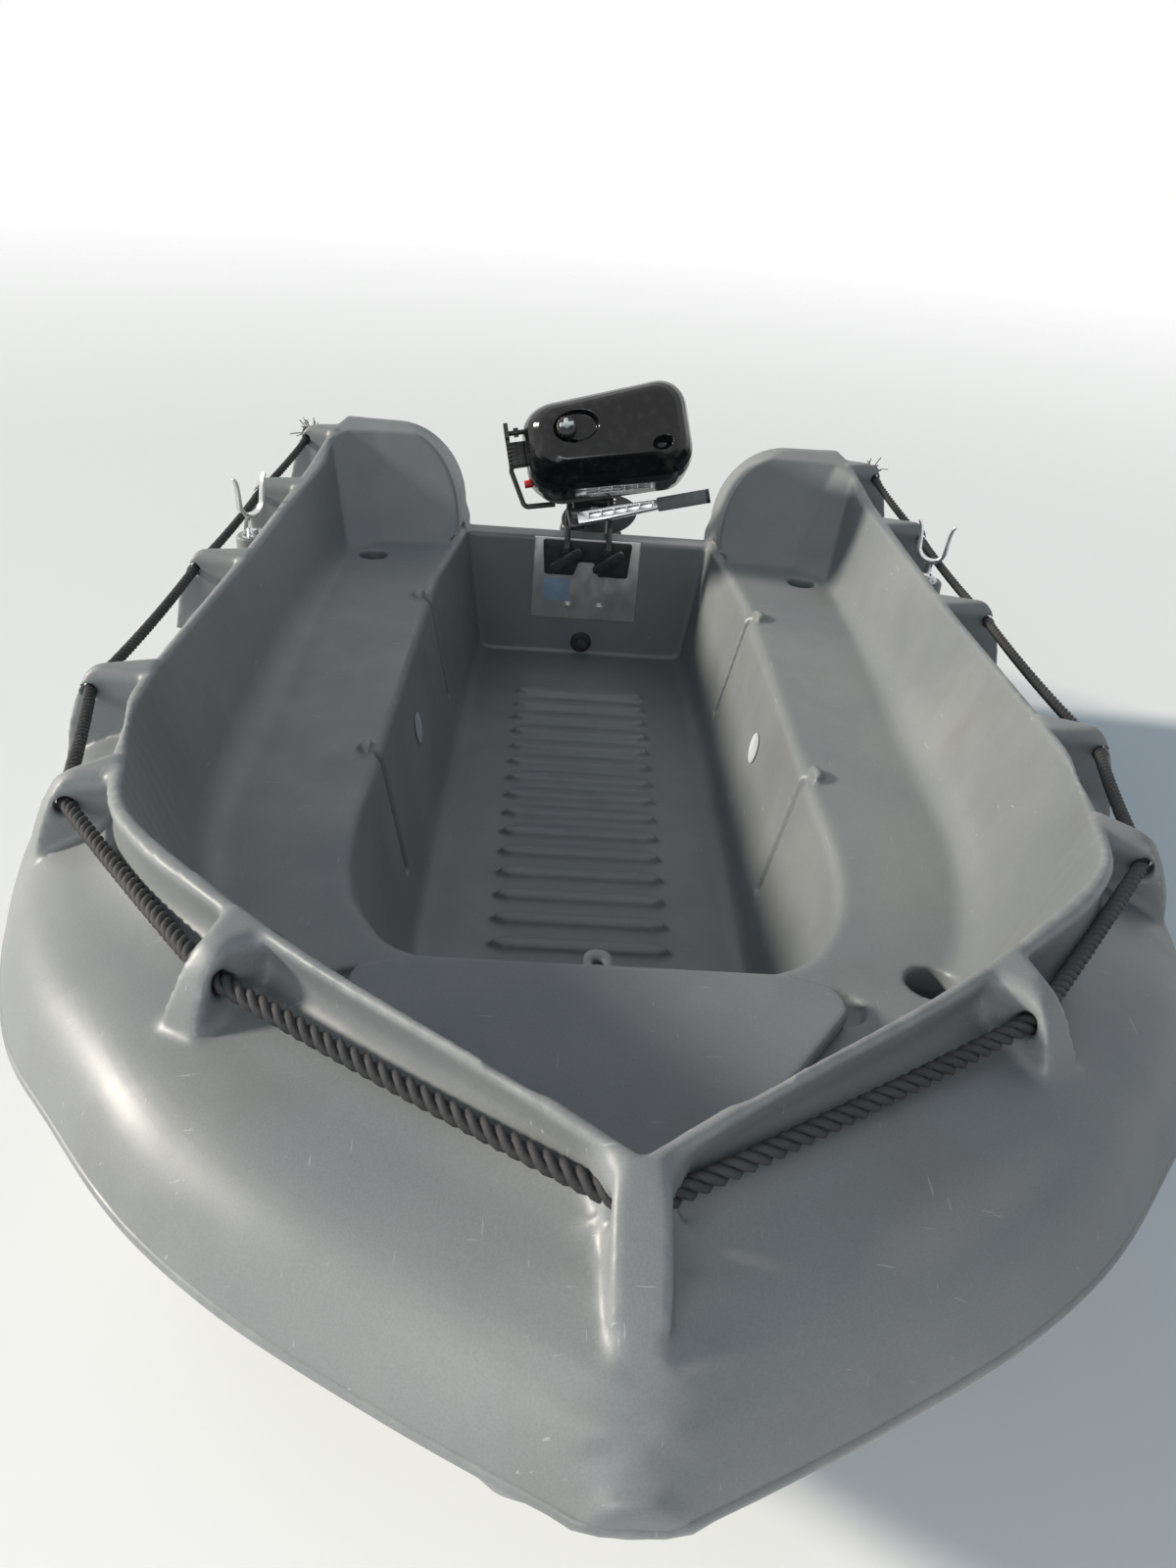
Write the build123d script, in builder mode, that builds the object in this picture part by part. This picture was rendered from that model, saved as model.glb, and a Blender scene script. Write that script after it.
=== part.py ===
from build123d import *
import math
import os

os.makedirs("parts", exist_ok=True)

# Frame: millimetres, +X to the bow, +Y to port, +Z up.
# The origin is on the ground under the keel, amidships on the centreline.

# Hull
STERN_X = -1150
BOW_X = 1150
FLOOR_Z = 90
BENCH_Z = 375
TRANSOM_TOP_Z = 365
TRANSOM_IN_X = -1035
TRANSOM_OUT_X = -1095
WELL_SCOOP_Y = 270
COCKPIT_TOP_Z = 700
STEM_MID_Z = 508
STEM_HALF_Z = 30

# Each row pairs a point of the gunwale's outer edge with the rubbing lip abreast of it: (x, y, z), (x, y, z)
GUNWALE_AND_LIP = [
    ((STERN_X, 545, 575), (STERN_X, 622, 330)),
    ((-1060, 566, 560), (-1060, 655, 330)),
    ((-900, 582, 528), (-900, 680, 330)),
    ((-400, 583, 524), (-400, 688, 335)),
    ((0, 575, 542), (0, 688, 345)),
    ((240, 560, 563), (255, 680, 360)),
    ((368, 526, 584), (403, 648, 390)),
    ((486, 496, 605), (556, 594, 440)),
    ((611, 452, 631), (700, 533, 475)),
    ((697, 395, 645), (790, 483, 498)),
    ((770, 327, 654), (870, 420, 517)),
    ((862, 224, 657), (960, 342, 528)),
    ((921, 144, 656), (1025, 261, 529)),
    ((969, 77, 654), (1088, 150, 526)),
    ((1022, 8, 650), (1149, 10.8, 520)),
]
# Stem profile forward of the gunwale: (x, y, z)
STEM = [(1090, 8, 612), (1130, 8, 568), (BOW_X, 8, 536)]
# Underbody lines: (x, y, z)
UNDER_LIP = [(STERN_X, 585, 272), (-900, 640, 285), (0, 650, 300), (255, 645, 315), (403, 612, 345), (556, 560, 390),
             (762, 470, 440), (914, 352, 478), (1000, 265, 488), (1090, 118, 490), (BOW_X, 9.6, 496)]
RUNNER_OUT = [(STERN_X, 500, 0), (-900, 520, 0), (300, 510, 0), (500, 470, 60), (700, 390, 190), (900, 270, 350),
              (1035, 160, 440), (1090, 95, 465), (BOW_X, 8.9, 492)]
RUNNER_IN = [(STERN_X, 400, 0), (300, 400, 0), (500, 370, 45), (700, 300, 150), (900, 220, 300), (1035, 130, 415),
             (1090, 78, 450), (BOW_X, 8, 488)]
TUNNEL_OUT = [(STERN_X, 300, 62), (450, 290, 70), (700, 240, 165), (900, 175, 290), (1035, 105, 390),
              (1090, 60, 430), (BOW_X, 6.8, 484)]
TUNNEL_IN = [(STERN_X, 130, 60), (450, 130, 66), (700, 125, 120), (900, 110, 225), (1035, 78, 340),
             (1090, 42, 400), (BOW_X, 5.2, 480)]
KEEL = [(STERN_X, 45, 0), (450, 45, 0), (700, 45, 60), (900, 40, 170), (1035, 30, 310), (1090, 20, 385),
        (BOW_X, 3, 476)]
STATIONS = [STERN_X, -1060, -900, -400, 0, 240, 380, 520, 660, 780, 880, 950, 1010, 1035, 1090, BOW_X]


def between(first, second, share_out, share_down):
    """A point part of the way out and down from the gunwale to the lip."""
    x = first[0] + share_out * (second[0] - first[0])
    y = first[1] + share_out * (second[1] - first[1])
    z = first[2] + share_down * (second[2] - first[2])
    return (x, y, z)


def line_at(line, x):
    """Half-breadth and height of a hull line at the station x."""
    if x <= line[0][0]:
        return line[0][1:]
    for a, b in zip(line, line[1:]):
        if x <= b[0]:
            t = (x - a[0]) / (b[0] - a[0])
            return (a[1] + t * (b[1] - a[1]), a[2] + t * (b[2] - a[2]))
    return line[-1][1:]


GUNWALE = [g for g, lip in GUNWALE_AND_LIP] + STEM
COVE = [between(g, lip, 0.06, 0.34) for g, lip in GUNWALE_AND_LIP] + [(1090, 9.5, 606), (BOW_X, 9.5, 534)]
SHELF = [between(g, lip, 0.58, 0.46) for g, lip in GUNWALE_AND_LIP] + [(1130, 9.2, 564), (BOW_X, 9.3, 532)]
BULGE = [between(g, lip, 0.88, 0.70) for g, lip in GUNWALE_AND_LIP] + [(BOW_X, 10.2, 529)]
LIP_TOP = [between(g, lip, 0.95, 0.92) for g, lip in GUNWALE_AND_LIP] + [(BOW_X, 10.7, 526)]
LIP = [lip for g, lip in GUNWALE_AND_LIP]
LIP_LOW = [(x, max(y - 4, 10.4), z - 20) for x, y, z in LIP]
HULL_LINES = [GUNWALE, COVE, SHELF, BULGE, LIP_TOP, LIP, LIP_LOW, UNDER_LIP, RUNNER_OUT, RUNNER_IN, TUNNEL_OUT,
              TUNNEL_IN, KEEL]


def stem_half():
    """The stem's blunt nose: a narrow lens with one point on each hull line."""
    count = len(HULL_LINES)
    half = []
    for i in range(count):
        turn = math.pi * (i + 0.5) / count
        half.append((4 + 8 * math.sin(turn), STEM_MID_Z + STEM_HALF_Z * math.cos(turn)))
    return half


def station_points(x):
    half = stem_half() if x == BOW_X else [line_at(line, x) for line in HULL_LINES]
    return half + [(-y, z) for y, z in reversed(half)]


# Cockpit: foot of the side wall on the bench, and the inner edge of the gunwale above it: (x, y), (x, y, z)
CREASE_AND_EDGE = [
    ((-925, 0), (-1075, 0, 570)),
    ((-925, 440), (-1075, 470, 570)),
    ((-850, 500), (-1000, 550, 530)),
    ((-400, 510), (-445, 566, 525)),
    ((0, 500), (20, 560, 542)),
    ((230, 488), (285, 537, 568)),
    ((420, 440), (475, 484, 602)),
    ((560, 370), (620, 432, 632)),
    ((670, 290), (757, 318, 652)),
    ((770, 180), (849, 216, 656)),
    ((845, 80), (956, 69, 653)),
    ((880, 0), (1005, 0, 650)),
]
# Foot well: floor outline and top outline: (x, y)
WELL_FLOOR = [(TRANSOM_IN_X, 232), (-700, 245), (-300, 250), (50, 250), (200, 246), (310, 232), (380, 205), (415, 150),
              (425, 0)]
WELL_TOP = [(TRANSOM_IN_X, 268), (-700, 300), (-300, 303), (60, 305), (200, 308), (310, 298), (400, 268), (470, 200),
            (494, 0)]

# Rope lugs, port side, with the bow lug first: (x, y, heading in degrees, height of the gunwale)
# reach in to the gunwale, ridge and foot of the fin's outer edge (out, up)
LUGS = [
    (1062, 0, 0, 650, 54, (64, -34), (86, -74)),
    (833, 309, 41, 656, 48, (70, -26), (110, -62)),
    (502, 540, 69, 607, 62, (46, -56), (62, -96)),
    (145, 640, 83, 553, 86, (27, -80), (28, -126)),
    (-388, 658, 90, 524, 92, (22, -80), (18, -130)),
    (-800, 656, 90, 526, 88, (22, -80), (18, -130)),
    (-1095, 630, 94, 562, 72, (20, -80), (12, -128)),
]
LUG_DROP = 30
LUG_HALF = 26
ROPE_R = 7
ROPE_HOLE_R = 9.5

# Floor ribs
RIB_COUNT = 16
RIB_PITCH = 63.5
RIB_FIRST_X = 148
RIB_HALF = 134
RIB_WIDTH = 30
RIB_HEIGHT = 9

# Seats and openings
GROOVE_XS = (-596, 18)
GROOVE_R = 8
GROOVE_COLLAR_R = 20
COLLAR_HEIGHT = 7
WELL_TOP_Z = BENCH_Z + COLLAR_HEIGHT + 1
CUP_HOLES = [(-815, 440), (478, 372)]
CUP_R = 28
CUP_DEPTH = 90
LOCKER_AFT_X = 535
LOCKER_FORE_X = 760
LOCKER_HALF = 140
LOCKER_FLOOR_Z = 235
TOW_X = 1080
TOW_Z = 440
TOW_R = 9
DRAIN_Z = 120
DRAIN_R = 12

# Bow lid
LID_GAP = 0.5
LID_THICK = 18
LID_AFT_X = 500
LID_OUTLINE = [(LID_AFT_X, 0), (LID_AFT_X, 205), (520, 258), (556, 262), (690, 166), (768, 62), (772, 42), (792, 42)]
LID_HINGE_X = 792
LID_HINGE_Z = BENCH_Z + LID_GAP + LID_THICK / 2
HINGE_HALF = 44
HINGE_PIN_R = 3

# Rowlocks
ROWLOCK_X = -625
ROWLOCK_Y = 632
ROWLOCK_PAD_Z = 464
ROWLOCK_PAD_R = 31
SOCKET_R = 10
SHANK_R = 6.3
FORK_HALF = 25
FORK_LOW = 30
FORK_TOP = 104
FORK_R = 5.5
FLANGE_THICK = 4
ROWLOCK_GAP = 0.3
KNOT_R = 14

# Transom fittings
PLATE_HALF = 118
PLATE_LOW_Z = 178
PLATE_THICK = 3
PAD_THICK = 5
SCREW_Z = 207
DISC_X = -259
DISC_Z = 272

# Outboard motor, in its own upright frame: origin on the tilt pin, x to its front
TILT_X = -1108
TILT_Z = 430
TILT_DEG = 60
TURN_DEG = -78
SWIVEL_X = -68
CLAMP_Y = 46
CLAMP_SCREW_Z = 334
TILT_PIN_R = 5
STEER_R = 17
SWIVEL_TOP_Z = 52
SWIVEL_LOW_Z = -126
PAN_LOW_Z = 95
COWL_LOW_Z = 130
COWL_TOP_Z = 305
COWL_X = -90
COWL_LENGTH = 336
COWL_WIDTH = 200
COWL_SECTIONS = [(COWL_LOW_Z, 336, 200, 70), (220, 340, 204, 72), (280, 316, 180, 66), (COWL_TOP_Z, 262, 130, 50)]
FUEL_X = -6
FUEL_Y = -14
PLATE_TOP_Z = -455
PROP_Z = -560
PROP_R = 92
PROP_BLADES = 3
GEARCASE_REAR_X = -128
BLADE_ROOT_R = 18
BLADE_MID_R = 55
TILLER_X = -28
TILLER_Y = 120
TILLER_Z = 84
TILLER_FOLD = -172
TILLER_LENGTH = 162
TILLER_POCKETS = 5
TILLER_POCKET_X = 26
TILLER_POCKET_PITCH = 28
HEAD = Location((TILT_X, 0, TILT_Z), (0, TILT_DEG, 0))
TURNED = HEAD * Location((SWIVEL_X, 0, 0), (0, 0, TURN_DEG)) * Location((-SWIVEL_X, 0, 0))
FOLDED = TURNED * Location((TILLER_X, TILLER_Y, TILLER_Z), (0, TILLER_FOLD, 0))


def save(part, name):
    part.label = name
    export_step(part, f"parts/{name}.step")


def lug_hole(x, y, gunwale_z):
    return (x, y, gunwale_z - LUG_DROP)


def mirrored(points):
    return points + [(x, -y) for x, y in reversed(points) if y != 0]


def hull_body():
    with BuildPart() as body:
        for x in STATIONS:
            with BuildSketch(Plane.YZ.offset(x)):
                with BuildLine():
                    Polyline(*station_points(x), close=True)
                make_face()
        loft(ruled=True)
    return body.part


def cockpit_tool():
    low = [c for c, g in CREASE_AND_EDGE]
    high = []
    for c, g in CREASE_AND_EDGE:
        reach = (COCKPIT_TOP_Z - BENCH_Z) / (g[2] - BENCH_Z)
        high.append((c[0] + reach * (g[0] - c[0]), c[1] + reach * (g[1] - c[1])))
    with BuildPart() as tool:
        for z, outline in ((BENCH_Z, low), (COCKPIT_TOP_Z, high)):
            with BuildSketch(Plane.XY.offset(z)):
                with BuildLine():
                    Polyline(*mirrored(outline), close=True)
                make_face()
        loft(ruled=True)
    return tool.part


def well_tool():
    with BuildPart() as tool:
        for z, outline in ((FLOOR_Z, WELL_FLOOR), (WELL_TOP_Z, WELL_TOP)):
            with BuildSketch(Plane.XY.offset(z)):
                with BuildLine():
                    Polyline(*mirrored(outline), close=True)
                make_face()
        loft(ruled=True)
    return tool.part


def transom_tool():
    """The notch between the two stern quarters, with their arched tops."""
    with BuildPart() as tool:
        with BuildSketch(Plane.YZ.offset(STERN_X - 20)):
            with BuildLine():
                Polyline((-268, TRANSOM_TOP_Z), (268, TRANSOM_TOP_Z), (280, 400))
                ThreePointArc((280, 400), (325, 505), (430, 570))
                Polyline((430, 570), (560, 572), (700, 540), (700, 720), (-700, 720), (-700, 540), (-560, 572),
                         (-430, 570))
                ThreePointArc((-430, 570), (-325, 505), (-280, 400))
                Line((-280, 400), (-268, TRANSOM_TOP_Z))
            make_face()
        extrude(amount=250)
    return tool.part


def lug_solid(x, y, heading, gunwale_z, reach, ridge, foot):
    with BuildPart() as lug:
        frame = Plane(origin=lug_hole(x, y, gunwale_z), x_dir=(math.cos(math.radians(heading)),
                      math.sin(math.radians(heading)), 0), z_dir=(math.sin(math.radians(heading)),
                      -math.cos(math.radians(heading)), 0))
        with BuildSketch(frame):
            with BuildLine():
                Polyline((-reach, LUG_DROP - 8), (-reach + 14, LUG_DROP - 3), (8, LUG_DROP - 5), (19, LUG_DROP - 13),
                         (24, 4), (30 if ridge[0] > 30 else 24, -18), ridge, foot, (-reach / 2, foot[1]),
                         (-reach, -30), close=True)
            make_face()
        extrude(amount=LUG_HALF, both=True)
    return lug.part


def rope_points():
    port = [lug_hole(lug[0], lug[1], lug[3]) for lug in LUGS]
    starboard = [(x, -y, z) for x, y, z in port[1:]]
    return list(reversed(port)) + starboard


def rope_tube(radius):
    points = rope_points()
    with BuildPart() as tube:
        for a, b in zip(points, points[1:]):
            start, end = Vector(*a), Vector(*b)
            with BuildSketch(Plane(origin=start, z_dir=end - start)):
                Circle(radius)
            extrude(amount=(end - start).length)
        for p in points:
            with Locations(p):
                Sphere(radius)
    return tube.part


def tilted_cylinder(low, high, radius):
    with BuildPart() as rod:
        start, end = Vector(*low), Vector(*high)
        with BuildSketch(Plane(origin=start, z_dir=end - start)):
            Circle(radius)
        extrude(amount=(end - start).length)
    return rod.part


def build_hull():
    with BuildPart() as hull:
        add(hull_body())
        add(cockpit_tool(), mode=Mode.SUBTRACT)
        with BuildSketch(Plane.XY.offset(BENCH_Z - 1)):
            with Locations([(x, side * 306) for x in GROOVE_XS for side in (1, -1)]):
                Circle(GROOVE_COLLAR_R)
        extrude(amount=COLLAR_HEIGHT + 1)
        for side in (1, -1):
            with Locations((ROWLOCK_X, side * ROWLOCK_Y, ROWLOCK_PAD_Z - 30)):
                Cylinder(ROWLOCK_PAD_R, 60)
        add(well_tool(), mode=Mode.SUBTRACT)
        for x in GROOVE_XS:
            for side in (1, -1):
                add(tilted_cylinder((x, side * 262, 165), (x, side * 305, 400), GROOVE_R), mode=Mode.SUBTRACT)
        add(transom_tool(), mode=Mode.SUBTRACT)
        with Locations(((STERN_X + TRANSOM_OUT_X) / 2 - 5, 0, 300)):
            Box(TRANSOM_OUT_X - STERN_X + 10, 2 * WELL_SCOOP_Y, 620, mode=Mode.SUBTRACT)
        for x, y, heading, z, reach, ridge, foot in LUGS:
            add(lug_solid(x, y, heading, z, reach, ridge, foot))
            if y:
                add(lug_solid(x, -y, -heading, z, reach, ridge, foot))
        add(rope_tube(ROPE_HOLE_R), mode=Mode.SUBTRACT)
        with BuildSketch(Plane.XY.offset(FLOOR_Z - 1)):
            with Locations([(RIB_FIRST_X - i * RIB_PITCH, 0) for i in range(RIB_COUNT)]):
                Rectangle(RIB_WIDTH, 2 * RIB_HALF)
        extrude(amount=RIB_HEIGHT + 1, taper=30)
        for x, y in CUP_HOLES:
            for side in (1, -1):
                with Locations((x, side * y, BENCH_Z - CUP_DEPTH / 2 + 5)):
                    Cylinder(CUP_R, CUP_DEPTH + 10, mode=Mode.SUBTRACT)
        with BuildSketch(Plane.XY.offset(BENCH_Z + 5)):
            with Locations(((LOCKER_AFT_X + LOCKER_FORE_X) / 2, 0)):
                RectangleRounded(LOCKER_FORE_X - LOCKER_AFT_X, 2 * LOCKER_HALF, 35)
        extrude(amount=-(BENCH_Z + 5 - LOCKER_FLOOR_Z), taper=4, mode=Mode.SUBTRACT)
        for side in (1, -1):
            with Locations((LID_HINGE_X, side * (HINGE_HALF + 7.5), BENCH_Z + 4)):
                Box(20, 13, 12)
            with Locations((LID_HINGE_X, side * (HINGE_HALF + 7.5), LID_HINGE_Z)):
                Cylinder(10, 13, rotation=(90, 0, 0))
            with Locations((530, side * 262, BENCH_Z)):
                Cylinder(26, 24, mode=Mode.SUBTRACT)
            with Locations((ROWLOCK_X, side * ROWLOCK_Y, ROWLOCK_PAD_Z - 30)):
                Cylinder(SOCKET_R + 0.05, 61, mode=Mode.SUBTRACT)
        with Locations((LID_HINGE_X, 0, LID_HINGE_Z)):
            Cylinder(HINGE_PIN_R, 2 * HINGE_HALF + 40, rotation=(90, 0, 0), mode=Mode.SUBTRACT)
        with Locations(((TRANSOM_IN_X + TRANSOM_OUT_X) / 2, 0, DRAIN_Z)):
            Cylinder(DRAIN_R + 0.05, 100, rotation=(0, 90, 0), mode=Mode.SUBTRACT)
        with Locations((TOW_X, 0, TOW_Z)):
            Cylinder(TOW_R, 300, rotation=(90, 0, 0), mode=Mode.SUBTRACT)
    return hull


def build_lid():
    with BuildPart() as lid:
        with BuildSketch(Plane.XY.offset(BENCH_Z + LID_GAP)) as outline:
            with BuildLine():
                Polyline(*mirrored(LID_OUTLINE), close=True)
            make_face()
            fillet(outline.vertices().filter_by(lambda v: v.X < 600), 24)
        extrude(amount=LID_THICK)
        with BuildSketch(Plane.XY.offset(BENCH_Z + LID_GAP)):
            with Locations((LID_AFT_X - 8, 0)):
                SlotOverall(58, 34)
            with Locations((LID_AFT_X - 12, 0)):
                Circle(7, mode=Mode.SUBTRACT)
        extrude(amount=12)
        with Locations((LID_HINGE_X, 0, LID_HINGE_Z)):
            Cylinder(LID_THICK / 2, 2 * HINGE_HALF, rotation=(90, 0, 0))
            Cylinder(HINGE_PIN_R + 0.06, 2 * HINGE_HALF + 2, rotation=(90, 0, 0), mode=Mode.SUBTRACT)
    return lid


def build_socket(side):
    with BuildPart() as socket:
        with BuildSketch(Plane.XY.offset(ROWLOCK_PAD_Z)):
            with Locations((ROWLOCK_X, side * ROWLOCK_Y)):
                SlotOverall(56, 34)
        extrude(amount=FLANGE_THICK)
        with Locations((ROWLOCK_X, side * ROWLOCK_Y, ROWLOCK_PAD_Z - 29)):
            Cylinder(SOCKET_R, 58)
        with Locations((ROWLOCK_X, side * ROWLOCK_Y, ROWLOCK_PAD_Z - 26)):
            Cylinder(SHANK_R + 0.08, 62, mode=Mode.SUBTRACT)
    return socket


def build_rowlock():
    """The rowlock by itself: origin on top of its socket, fork across X."""
    with BuildPart() as rowlock:
        with BuildSketch(Plane.XY):
            Circle(11)
        extrude(amount=7)
        with BuildSketch(Plane.XY):
            Circle(SHANK_R)
        extrude(amount=-50)
        with BuildSketch(Plane.XY):
            Circle(7)
        extrude(amount=FORK_LOW - 2)
        with BuildLine(Plane.XZ) as fork:
            Line((-FORK_HALF, FORK_TOP), (-FORK_HALF, FORK_LOW + FORK_HALF))
            ThreePointArc((-FORK_HALF, FORK_LOW + FORK_HALF), (0, FORK_LOW), (FORK_HALF, FORK_LOW + FORK_HALF))
            Line((FORK_HALF, FORK_LOW + FORK_HALF), (FORK_HALF, FORK_TOP))
        with BuildSketch(Plane(origin=fork.line @ 0, z_dir=fork.line % 0)):
            Circle(FORK_R)
        sweep(path=fork.line)
    return rowlock


def build_rope():
    with BuildPart() as rope:
        add(rope_tube(ROPE_R))
        for side in (1, -1):
            x, y, z = lug_hole(LUGS[-1][0], LUGS[-1][1], LUGS[-1][3])
            with Locations((x - LUG_HALF - KNOT_R, side * y, z)):
                Sphere(KNOT_R)
            with BuildSketch(Plane(origin=(x, side * y, z), z_dir=(-1, 0, 0))):
                Circle(ROPE_R)
            extrude(amount=LUG_HALF + KNOT_R)
    return rope


def build_plate():
    with BuildPart() as plate:
        with BuildSketch(Plane.YZ.offset(TRANSOM_IN_X)):
            with Locations((0, (PLATE_LOW_Z + TRANSOM_TOP_Z) / 2)):
                RectangleRounded(2 * PLATE_HALF, TRANSOM_TOP_Z - PLATE_LOW_Z, 3)
        extrude(amount=PLATE_THICK)
    return plate


def build_pad():
    with BuildPart() as pad:
        with BuildSketch(Plane.YZ.offset(TRANSOM_IN_X + PLATE_THICK)) as face:
            with BuildLine():
                Polyline((-99, 362), (99, 362), (93, 282), (28, 282), (17, 314), (-17, 314), (-28, 282), (-93, 282),
                         close=True)
            make_face()
            fillet(face.vertices(), 6)
        extrude(amount=PAD_THICK)
    return pad


def build_screws():
    with BuildPart() as screws:
        for y in (-36, 36):
            with Locations(Location((TRANSOM_IN_X + PLATE_THICK, y, SCREW_Z), (0, 90, 0))):
                Cylinder(10, 1.5, align=(Align.CENTER, Align.CENTER, Align.MIN))
                Cylinder(6.5, 7, align=(Align.CENTER, Align.CENTER, Align.MIN))
    return screws


def build_label():
    with BuildPart() as label:
        with Locations((TRANSOM_IN_X + PLATE_THICK + 0.25, -64, 246)):
            Box(0.5, 59, 54)
    return label


def build_drain():
    with BuildPart() as drain:
        with Locations(Location((TRANSOM_IN_X, 0, DRAIN_Z), (0, 90, 0))):
            Cylinder(24, 5, align=(Align.CENTER, Align.CENTER, Align.MIN))
            Cylinder(DRAIN_R, 62, align=(Align.CENTER, Align.CENTER, Align.MAX))
        with BuildSketch(Plane.YZ.offset(TRANSOM_IN_X)):
            with Locations((0, DRAIN_Z)):
                RegularPolygon(15, 6)
        extrude(amount=22)
    return drain


def build_disc(side):
    with BuildPart() as disc:
        lean = math.atan2(303 - 250, WELL_TOP_Z - FLOOR_Z)
        wall_y = 250 + (DISC_Z - FLOOR_Z) * math.tan(lean)
        with BuildSketch(Plane(origin=(DISC_X, side * wall_y, DISC_Z), x_dir=(1, 0, 0),
                               z_dir=(0, -side * math.cos(lean), math.sin(lean)))):
            Circle(26)
        extrude(amount=1)
    return disc


def build_clamp():
    """Hook over the transom: two cheeks, a cross bar behind the transom and the bosses for the screws."""
    with BuildPart() as clamp:
        for side in (1, -1):
            with BuildSketch(Plane.XZ.offset(-side * CLAMP_Y)) as cheek:
                with BuildLine():
                    Polyline((-1095, TRANSOM_TOP_Z), (-1022, TRANSOM_TOP_Z), (-1022, 318), (-1004, 318), (-1004, 352),
                             (-1015, 368), (-1060, 385), (-1098, 444), (-1126, 444), (-1124, 400), (-1119, 290),
                             (-1095, 290), close=True)
                make_face()
            extrude(amount=6, both=True)
            with Locations((-1011, side * CLAMP_Y, CLAMP_SCREW_Z)):
                Cylinder(12, 20, rotation=(0, 90, 0))
        with Locations((-1108, 0, 310)):
            Box(18, 2 * CLAMP_Y, 30)
        for side in (1, -1):
            with Locations((-1011, side * CLAMP_Y, CLAMP_SCREW_Z)):
                Cylinder(6.05, 22, rotation=(0, 90, 0), mode=Mode.SUBTRACT)
        with Locations((TILT_X, 0, TILT_Z)):
            Cylinder(TILT_PIN_R, 2 * CLAMP_Y + 20, rotation=(90, 0, 0), mode=Mode.SUBTRACT)
    return clamp


def build_clamp_screw(side):
    pad_x = TRANSOM_IN_X + PLATE_THICK + PAD_THICK
    with BuildPart() as screw:
        with Locations(Location((pad_x, side * CLAMP_Y, CLAMP_SCREW_Z), (0, 90, 0))):
            Cylinder(16, 4, align=(Align.CENTER, Align.CENTER, Align.MIN))
            Cylinder(6, 54, align=(Align.CENTER, Align.CENTER, Align.MIN))
        with BuildSketch(Plane.YZ.offset(pad_x + 48)):
            with Locations(Location((side * CLAMP_Y, CLAMP_SCREW_Z, 0), (0, 0, 35))):
                SlotOverall(78, 18)
        extrude(amount=7)
    return screw


def build_tilt_pin():
    with BuildPart() as pin:
        with Locations((TILT_X, 0, TILT_Z)):
            Cylinder(TILT_PIN_R, 2 * CLAMP_Y + 12, rotation=(90, 0, 0))
        for side in (1, -1):
            with Locations((TILT_X, side * (CLAMP_Y + 8.5), TILT_Z)):
                Cylinder(9, 5, rotation=(90, 0, 0))
    return pin


def build_swivel():
    with BuildPart() as swivel:
        Cylinder(14, 2 * (CLAMP_Y - 7), rotation=(90, 0, 0))
        with BuildSketch(Plane.XZ) as web:
            with BuildLine():
                Polyline((0, 13), (SWIVEL_X, 40), (SWIVEL_X, -118), (-40, -60), (0, -13), close=True)
            make_face()
        extrude(amount=14, both=True)
        with Locations((SWIVEL_X, 0, (SWIVEL_TOP_Z + SWIVEL_LOW_Z) / 2)):
            Cylinder(25, SWIVEL_TOP_Z - SWIVEL_LOW_Z)
            Cylinder(STEER_R + 0.08, SWIVEL_TOP_Z - SWIVEL_LOW_Z + 2, mode=Mode.SUBTRACT)
        Cylinder(TILT_PIN_R + 0.06, 2 * CLAMP_Y, rotation=(90, 0, 0), mode=Mode.SUBTRACT)
    return swivel


def build_leg():
    """Steering shaft, drive leg, plate, gearcase and skeg."""
    with BuildPart() as leg:
        with Locations((SWIVEL_X, 0, (SWIVEL_TOP_Z + SWIVEL_LOW_Z) / 2)):
            Cylinder(STEER_R, SWIVEL_TOP_Z - SWIVEL_LOW_Z + 8)
        with Locations((SWIVEL_X, 0, SWIVEL_TOP_Z + 3)):
            Cylinder(30, PAN_LOW_Z - SWIVEL_TOP_Z - 3, align=(Align.CENTER, Align.CENTER, Align.MIN))
        for z, length, width in ((SWIVEL_LOW_Z - 3, 78, 46), (PLATE_TOP_Z, 72, 34)):
            with BuildSketch(Plane.XY.offset(z)):
                with Locations((SWIVEL_X - 8, 0)):
                    Ellipse(length / 2, width / 2)
        loft()
        with BuildSketch(Plane.XY.offset(PLATE_TOP_Z)):
            with Locations((SWIVEL_X - 40, 0)):
                Ellipse(100, 55)
        extrude(amount=-6)
        with BuildSketch(Plane.XY.offset(PLATE_TOP_Z - 6)):
            with Locations((SWIVEL_X - 10, 0)):
                Ellipse(42, 13)
        extrude(amount=PROP_Z - PLATE_TOP_Z + 6)
        with Locations(Location((GEARCASE_REAR_X, 0, PROP_Z), (0, 90, 0))):
            Cylinder(27, 96, align=(Align.CENTER, Align.CENTER, Align.MIN))
        with Locations((GEARCASE_REAR_X + 96, 0, PROP_Z)):
            Sphere(27)
        with BuildSketch(Plane.XZ) as skeg:
            with BuildLine():
                Polyline((-30, PROP_Z), (-62, PROP_Z - 118), (-118, PROP_Z - 130), (-112, PROP_Z), close=True)
            make_face()
        extrude(amount=4, both=True)
    return leg


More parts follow.
